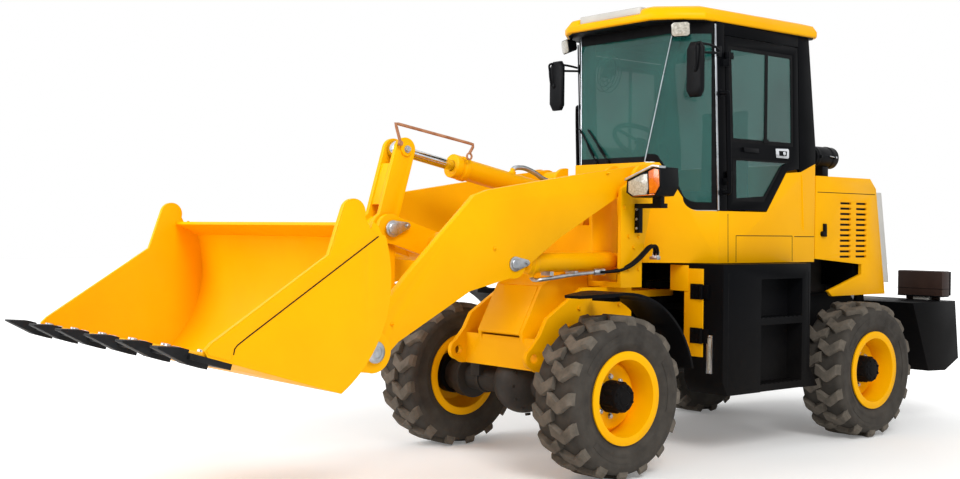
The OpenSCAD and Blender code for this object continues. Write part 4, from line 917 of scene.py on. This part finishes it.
cushion("seat_cushion", [seatRing(-545, -95, 222, 1415), seatRing(-548, -92, 226, 1450), seatRing(-545, -96, 218, 1500)])
cushion("seat_back", [[at(x, y, z) for y, z in ((-212, 1440), (212, 1440), (196, 2060), (-196, 2060))] for x in (-585, -628)])
bm = bmesh.new()
block(bm, (-455, -165), (-175, 175), (1116, 1180))
for i in range(6):
    block(bm, (-440 + 4 * (i % 2), -180 - 4 * (i % 2)), (-160, 160), (1182 + i * 33, 1210 + i * 33))
block(bm, (-480, -140), (-200, 200), (1382, 1399))
block(bm, (-638, -602), (-148, 148), (1116, 1419))
piece("seat_suspension", bm, "rear_half", [blackAbs], bevel=4.0, stands=["seat"])
print("cab inside made")

# Cab outside: grab bars, work lamps, panel seams, door furniture
for side, word in bothSides:
    bm = bmesh.new()
    bentTube(bm, [(128, side * 556, 2062), (125, side * 596, 2060), (121, side * 612, 2040), (112, side * 614, 1800),
        (100, side * 612, 1520), (98, side * 596, 1498), (96, side * 556, 1496)], 13, steps=6)
    for x, z in ((128, 2062), (96, 1496)):
        turned(bm, [(24, 0), (24, 5), (18, 8)], at(x, side * 555, z), (0, side, 0), 20)
    piece("grab_bar_" + word, bm, "rear_half", [blackEnamel])
    bm = bmesh.new()
    lampFace = Vector((0.90, side * 0.40, -0.16)).normalized()
    lampSpot = at(368, side * 470, 2412)
    across = lampFace.cross(Vector((0, 0, 1))).normalized()
    above = across.cross(lampFace)
    lampRim = ((-1, -0.75), (-0.75, -1), (0.75, -1), (1, -0.75), (1, 0.75), (0.75, 1), (-0.75, 1), (-1, 0.75))
    for rows, finish in ((((-64, 0.55), (-58, 0.7), (-10, 0.97), (0, 1.0)), 0), (((0, 0.9), (5, 0.9), (7, 0.82)), 1)):
        skin(bm, [[lampSpot + (lampFace * depth + across * a * 58 * k + above * b * 42 * k) / 1000 for a, b in lampRim]
            for depth, k in rows], finish)
    tube(bm, [lampSpot - lampFace * 0.03, at(335, side * 455, 2466)], 9, 8)
    piece("work_lamp_" + word, bm, "rear_half", [blackAbs, clearLens])
    # panel seams on the cab's lower side, with the outline of the sill hatch
    bm = bmesh.new()
    seams = [((40, 1375), (34, 1095)), ((-36, 1249), (-38, 1095)), ((-36, 1249), (-572, 1249)), ((-572, 1249), (-575, 1095)),
        ((-593, 1246), (-796, 1246))]
    for a, b in seams:
        seamLineOn(bm, a, b, 2.2, side * 554.2, side * 555.6)
    piece("cab_panel_seams_" + word, bm, "rear_half", [sealRubber])
    bm = bmesh.new()
    tube(bm, [at(-658, side * 553, 1625), at(-664, side * 554, 1600), at(-682, side * 554, 1320), at(-686, side * 552, 1285)], 7, 12)
    piece("cab_side_crease_" + word, bm, "rear_half", [yellowEnamel])
    # door latch plate, pull and window seals
    bm = bmesh.new()
    plate = [(-392, 1772), (-400, 1718), (-516, 1716), (-524, 1724), (-524, 1766), (-514, 1776)]
    slab(bm, plate, side * 555, side * 561, "y", 0)
    slab(bm, [(-425, 1760), (-430, 1730), (-498, 1730), (-502, 1760)], side * 560, side * 564, "y", 1)
    turned(bm, [(12, 0), (12, 6), (8, 8), (1, 8)], at(-470, side * 563, 1745), (0, side, 0), 16)
    slab(bm, [(-84, 1764), (-88, 1738), (-226, 1738), (-222, 1762)], side * 555, side * 568, "y", 1)
    piece("door_furniture_" + word, bm, "door_" + word, [chromedSteel, blackAbs], bevel=1.5)
    bm = bmesh.new()
    for outline in ([(50, 2345), (-560, 2345), (-580, 1790), (20, 1790)],
            [(0, 1700), (-560, 1700), (-480, 1680), (-300, 1450), (-10, 1450)]):
        middle = Vector((sum(p[0] for p in outline) / len(outline), sum(p[1] for p in outline) / len(outline)))
        inner = [Vector(p) + (middle - Vector(p)).normalized() * 34 for p in outline]
        skin(bm, [[at(spot[0], side * y, spot[1]) for spot, y in ((p, 549.5), (q, 549.5), (q, 552.5), (p, 552.5))]
            for p, q in zip(outline, inner)], closed=True)
    # sash bar and catch of the sliding window
    block(bm, (-318, -292), (side * 549, side * 553), (1795, 2340))
    block(bm, (-330, -280), (side * 552, side * 558), (1800, 1822))
    piece("door_window_seals_" + word, bm, "door_" + word, [sealRubber])
print("cab outside made")

# Mirrors: shell, glass, two thin arms
mirrorBox = [corner * 1000 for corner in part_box("mirrors")]
mirrorY, headLow, headTop = 563.5, mirrorBox[0].z, mirrorBox[1].z
for side, word in bothSides:
    bm = bmesh.new()
    centreZ = (headLow + headTop) / 2
    half = (headTop - headLow) / 2
    outline = [(-57, 34 - half), (-36, 2 - half), (34, 2 - half), (57, 38 - half), (57, half - 36), (34, half - 2), (-36, half - 2),
        (-57, half - 36)]
    skin(bm, [[at(x, side * (mirrorY + y * k), centreZ + z * k) for y, z in outline]
        for x, k in ((337, 1.0), (352, 1.0), (361, 0.94), (365, 0.78))])
    bentTube(bm, [(144, side * 562, 2305), (230, side * 590, 2320), (372, side * 596, 2318), (382, side * 596, 2270),
        (374, side * 590, centreZ + 10), (362, side * 580, centreZ)], 7, 8, 6)
    turned(bm, [(16, 0), (16, 12), (10, 16)], at(358, side * 578, centreZ), (1, 0, 0), 16)
    tube(bm, [at(144, side * 562, 2290), at(340, side * 568, 2275)], 7, 8)
    block(bm, (126, 156), (side * 555, side * 567), (2270, 2330))
    piece("mirror_shell_" + word, bm, "rear_half", [blackAbs], bevel=3.0, stands=["mirrors"])
    bm = bmesh.new()
    skin(bm, [[at(x, side * (mirrorY + y * k), centreZ + z * k) for y, z in outline] for x, k in ((333.5, 0.9), (337.5, 0.94))])
    piece("mirror_glass_" + word, bm, "rear_half", [silveredGlass], bevel=1.0)
print("mirrors made")

# Hood: louvre lips, black sheets behind them as painted shade, latch, panel seam
louvreSpec = {"count": 11, "pitch": 0.034}
for side, word in bothSides:
    bm = bmesh.new()
    for x in (-1195, -1370):
        slab(bm, [(x - 3, 1127), (x + 118, 1127), (x + 118, 1131), (x - 3, 1131)], side * 549, side * 556)
    lips = repeated("hood_louvre_lips_" + word, bm, rowTree, louvreSpec["count"], (0, 0, louvreSpec["pitch"]), yellowEnamel)
    dress(lips, "hood")
    # a black sheet with uprights behind the louvres is painted shade: it darkens the slots as the shaded engine bay
    # would
    bm = bmesh.new()
    slab(bm, [(-1062, 1106), (-1062, 1512), (-1386, 1512), (-1386, 1106)], side * 534, side * 538)
    for x in (-1226, -1058, -1390):
        block(bm, (x - 6, x + 6), (side * 532, side * 543), (1106, 1512))
    piece("louvre_shade_sheet_" + word, bm, "hood", [blackAbs])
    bm = bmesh.new()
    slab(bm, [(-892, 1328), (-914, 1328), (-918, 1300), (-918, 1246), (-896, 1246)], side * 549, side * 566)
    turned(bm, [(17, 0), (17, 20), (13, 24), (1, 24)], at(-884, side * 549, 1264), (0, side, 0), 18)
    piece("hood_latch_" + word, bm, "hood", [sealRubber], bevel=2.0)
    bm = bmesh.new()
    slab(bm, [(-834, 1522), (-834, 1526), (-1466, 1526), (-1466, 1522)], side * 549.4, side * 550.8)
    piece("hood_panel_seam_" + word, bm, "hood", [sealRubber])
# Air cleaner: two clamp bands and a bolt
drumBox = [corner * 1000 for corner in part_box("air_cleaner")]
drumY, drumRadius = (drumBox[0].y + drumBox[1].y) / 2, (drumBox[1].y - drumBox[0].y) / 2
drumZ = drumBox[1].z - drumRadius
bm = bmesh.new()
for x in (-1000, -1150):
    turned(bm, [(drumRadius + 1, 0), (drumRadius + 3, 2), (drumRadius + 3, 20), (drumRadius + 1, 22)], at(x, drumY, drumZ), (1, 0, 0), 40)
    block(bm, (x + 3, x + 19), (drumY + drumRadius - 8, drumY + drumRadius + 14), (drumZ - 10, drumZ + 10))
piece("air_cleaner_bands", bm, "hood", [blackAbs], bevel=1.0)
bm = bmesh.new()
boltHead(bm, at(-1142, drumY + drumRadius + 12, drumZ), (0, 1, 0), 14)
tube(bm, [at(-1142, drumY + drumRadius + 8, drumZ), at(-1080, drumY + drumRadius + 8, drumZ + 6)], 4, 8)
piece("air_cleaner_clamp_bolt", bm, "hood", [zincSteel])
print("hood dressed")

# The radiator's shroud between engine and grille
bm = bmesh.new()
for side in (1, -1):
    block(bm, (-1476, -1300), (side * 262, side * 500), (930, 1500))
block(bm, (-1476, -1400), (-500, 500), (1502, 1540))
piece("radiator_shroud", bm, "rear_half", [blackEnamel], bevel=4.0)

# Tanks: step treads, cover hinges and leaves, seams, level gauge
tankSpec = {"stepZ": (392, 775), "ribs": 9, "ribPitch": 0.0425, "hingeZ": (930, 680)}
leafSpec = {"inner": 318, "outer": 455, "runs": ((562, 640), (930, 1078)), "faces": (258.4, 263)}
for side, word in bothSides:
    bm = bmesh.new()
    for z in tankSpec["stepZ"]:
        block(bm, (-470, -440), (side * 595, side * 699), (z - 0.5, z + 4))
    treads = repeated("step_treads_" + word, bm, rowTree, tankSpec["ribs"], (tankSpec["ribPitch"], 0, 0), blackEnamel)
    dress(treads, "rear_half")
    bm = bmesh.new()
    for z in tankSpec["hingeZ"]:
        block(bm, (257, 263), (side * 470, side * 552), (z - 44, z + 44))
        turned(bm, [(9, -44), (9, 44)], at(264, side * 552, z), (0, 0, 1), 14)
        block(bm, (249, 262), (side * 556, side * 600), (z - 40, z + 40))
        for y in (488, 520):
            for dz in (-26, 26):
                boltHead(bm, at(263, side * y, z + dz), (1, 0, 0), 14)
    piece("cover_hinges_" + word, bm, "rear_half", [blackEnamel], bevel=1.5)
    # the cover's inner leaves reach towards the joint, above and below the room that the front frame needs to swing
    bm = bmesh.new()
    near, far = side * leafSpec["inner"], side * leafSpec["outer"]
    for low, high in leafSpec["runs"]:
        slab(bm, [(near, low), (near, high), (far, high), (far, low)], *leafSpec["faces"], "x")
    piece("cover_leaf_" + word, bm, "rear_half", [yellowEnamel], bevel=2.0)
    bm = bmesh.new()
    for x, low in ((206, 400), (-545, 480)):
        seamLineOn(bm, (x, 1040), (x, low), 2, side * 699, side * 700.8)
    piece("tank_seams_" + word, bm, "rear_half", [sealRubber])
bm = bmesh.new()
slab(bm, [(588, 472), (630, 472), (630, 688), (588, 688)], 249, 258, "x", 0)
slab(bm, [(600, 490), (618, 490), (618, 672), (600, 672)], 257, 262, "x", 1)
for z in (480, 682):
    boltHead(bm, at(258, 609, z), (1, 0, 0), 12)
piece("level_gauge", bm, "rear_half", [trimAluminium, clearLens], bevel=1.0)
print("tanks dressed")

# Tail lamps: lenses on the rear faces with guard bars, trays and feet under the boxes, a seam round them
guardSpec = {"bars": 5, "pitch": 0.08375, "first": (318, -667), "width": 12}
blockPair("tail_lamp_lenses", (-2216, -2208), (335, 650), (860, 1000), redLens, 2.0)
bm = bmesh.new()
for y in guardSpec["first"]:
    block(bm, (-2224, -2214), (y, y + guardSpec["width"]), (848, 1012))
guard = repeated("tail_lamp_guards", bm, rowTree, guardSpec["bars"], (0, guardSpec["pitch"], 0), blackEnamel)
dress(guard, "rear_half")
blockPair("tail_lamp_trays", (-2205, -2118), (322, 662), (838, 846), blackEnamel, 2.0)
blockPair("tail_lamp_feet", (-2196, -2134), (432, 556), (816, 837), paleAbs, 3.0)
blockPair("tail_lamp_seams", (-2210.8, -2119.2), (319.2, 665.8), (892, 895), sealRubber, 0.0)

# Axles and frames: cover bolts, collars, drain plugs, plate bolts
axleX, axleZ = tyreSpec["wheelbase"] / 2, tyreSpec["hubHeight"]
for place, x, body in (("front", axleX, "front_half"), ("rear", -axleX, "rear_half")):
    bm = bmesh.new()
    boltHead(bm, Vector((0.140, 0.078, 0)), (0.4, 1, 0), 18)
    ring = repeated("axle_cover_bolts_" + place, bm, ringTree, 12, (0, math.radians(30), 0), castIron, at(x, 0, axleZ))
    dress(ring, body)
    bm = bmesh.new()
    for side in (1, -1):
        turned(bm, [(128, 0), (128, 16), (122, 20)], at(x, side * 424, axleZ), (0, side, 0), 48)
        turned(bm, [(86, 0), (86, 20), (80, 24)], at(x, side * 300, axleZ), (0, side, 0), 40)
    turned(bm, [(16, 0), (16, 12), (12, 14)], at(x, 40, 258), (0, 0.25, -1), 12)
    piece("axle_collars_" + place, bm, body, [castIron], bevel=2.0)
frameBolts = [(680, 640), (780, 900), (1010, 850), (1180, 640), (900, 700), (700, 860), (860, 905), (1080, 760)]
towerBolts = [(660, 1240), (740, 1240), (660, 1060), (740, 1060), (775, 1400), (700, 1180)]
for name, spots, face, size in (("front_frame_bolts", frameBolts, 330, 20), ("tower_bolts", towerBolts, 437, 18)):
    bm = bmesh.new()
    for x, z in spots:
        for side in (1, -1):
            boltHead(bm, at(x, side * face, z), (0, side, 0), size)
    piece(name, bm, "front_half", [yellowEnamel])
print("frames dressed")
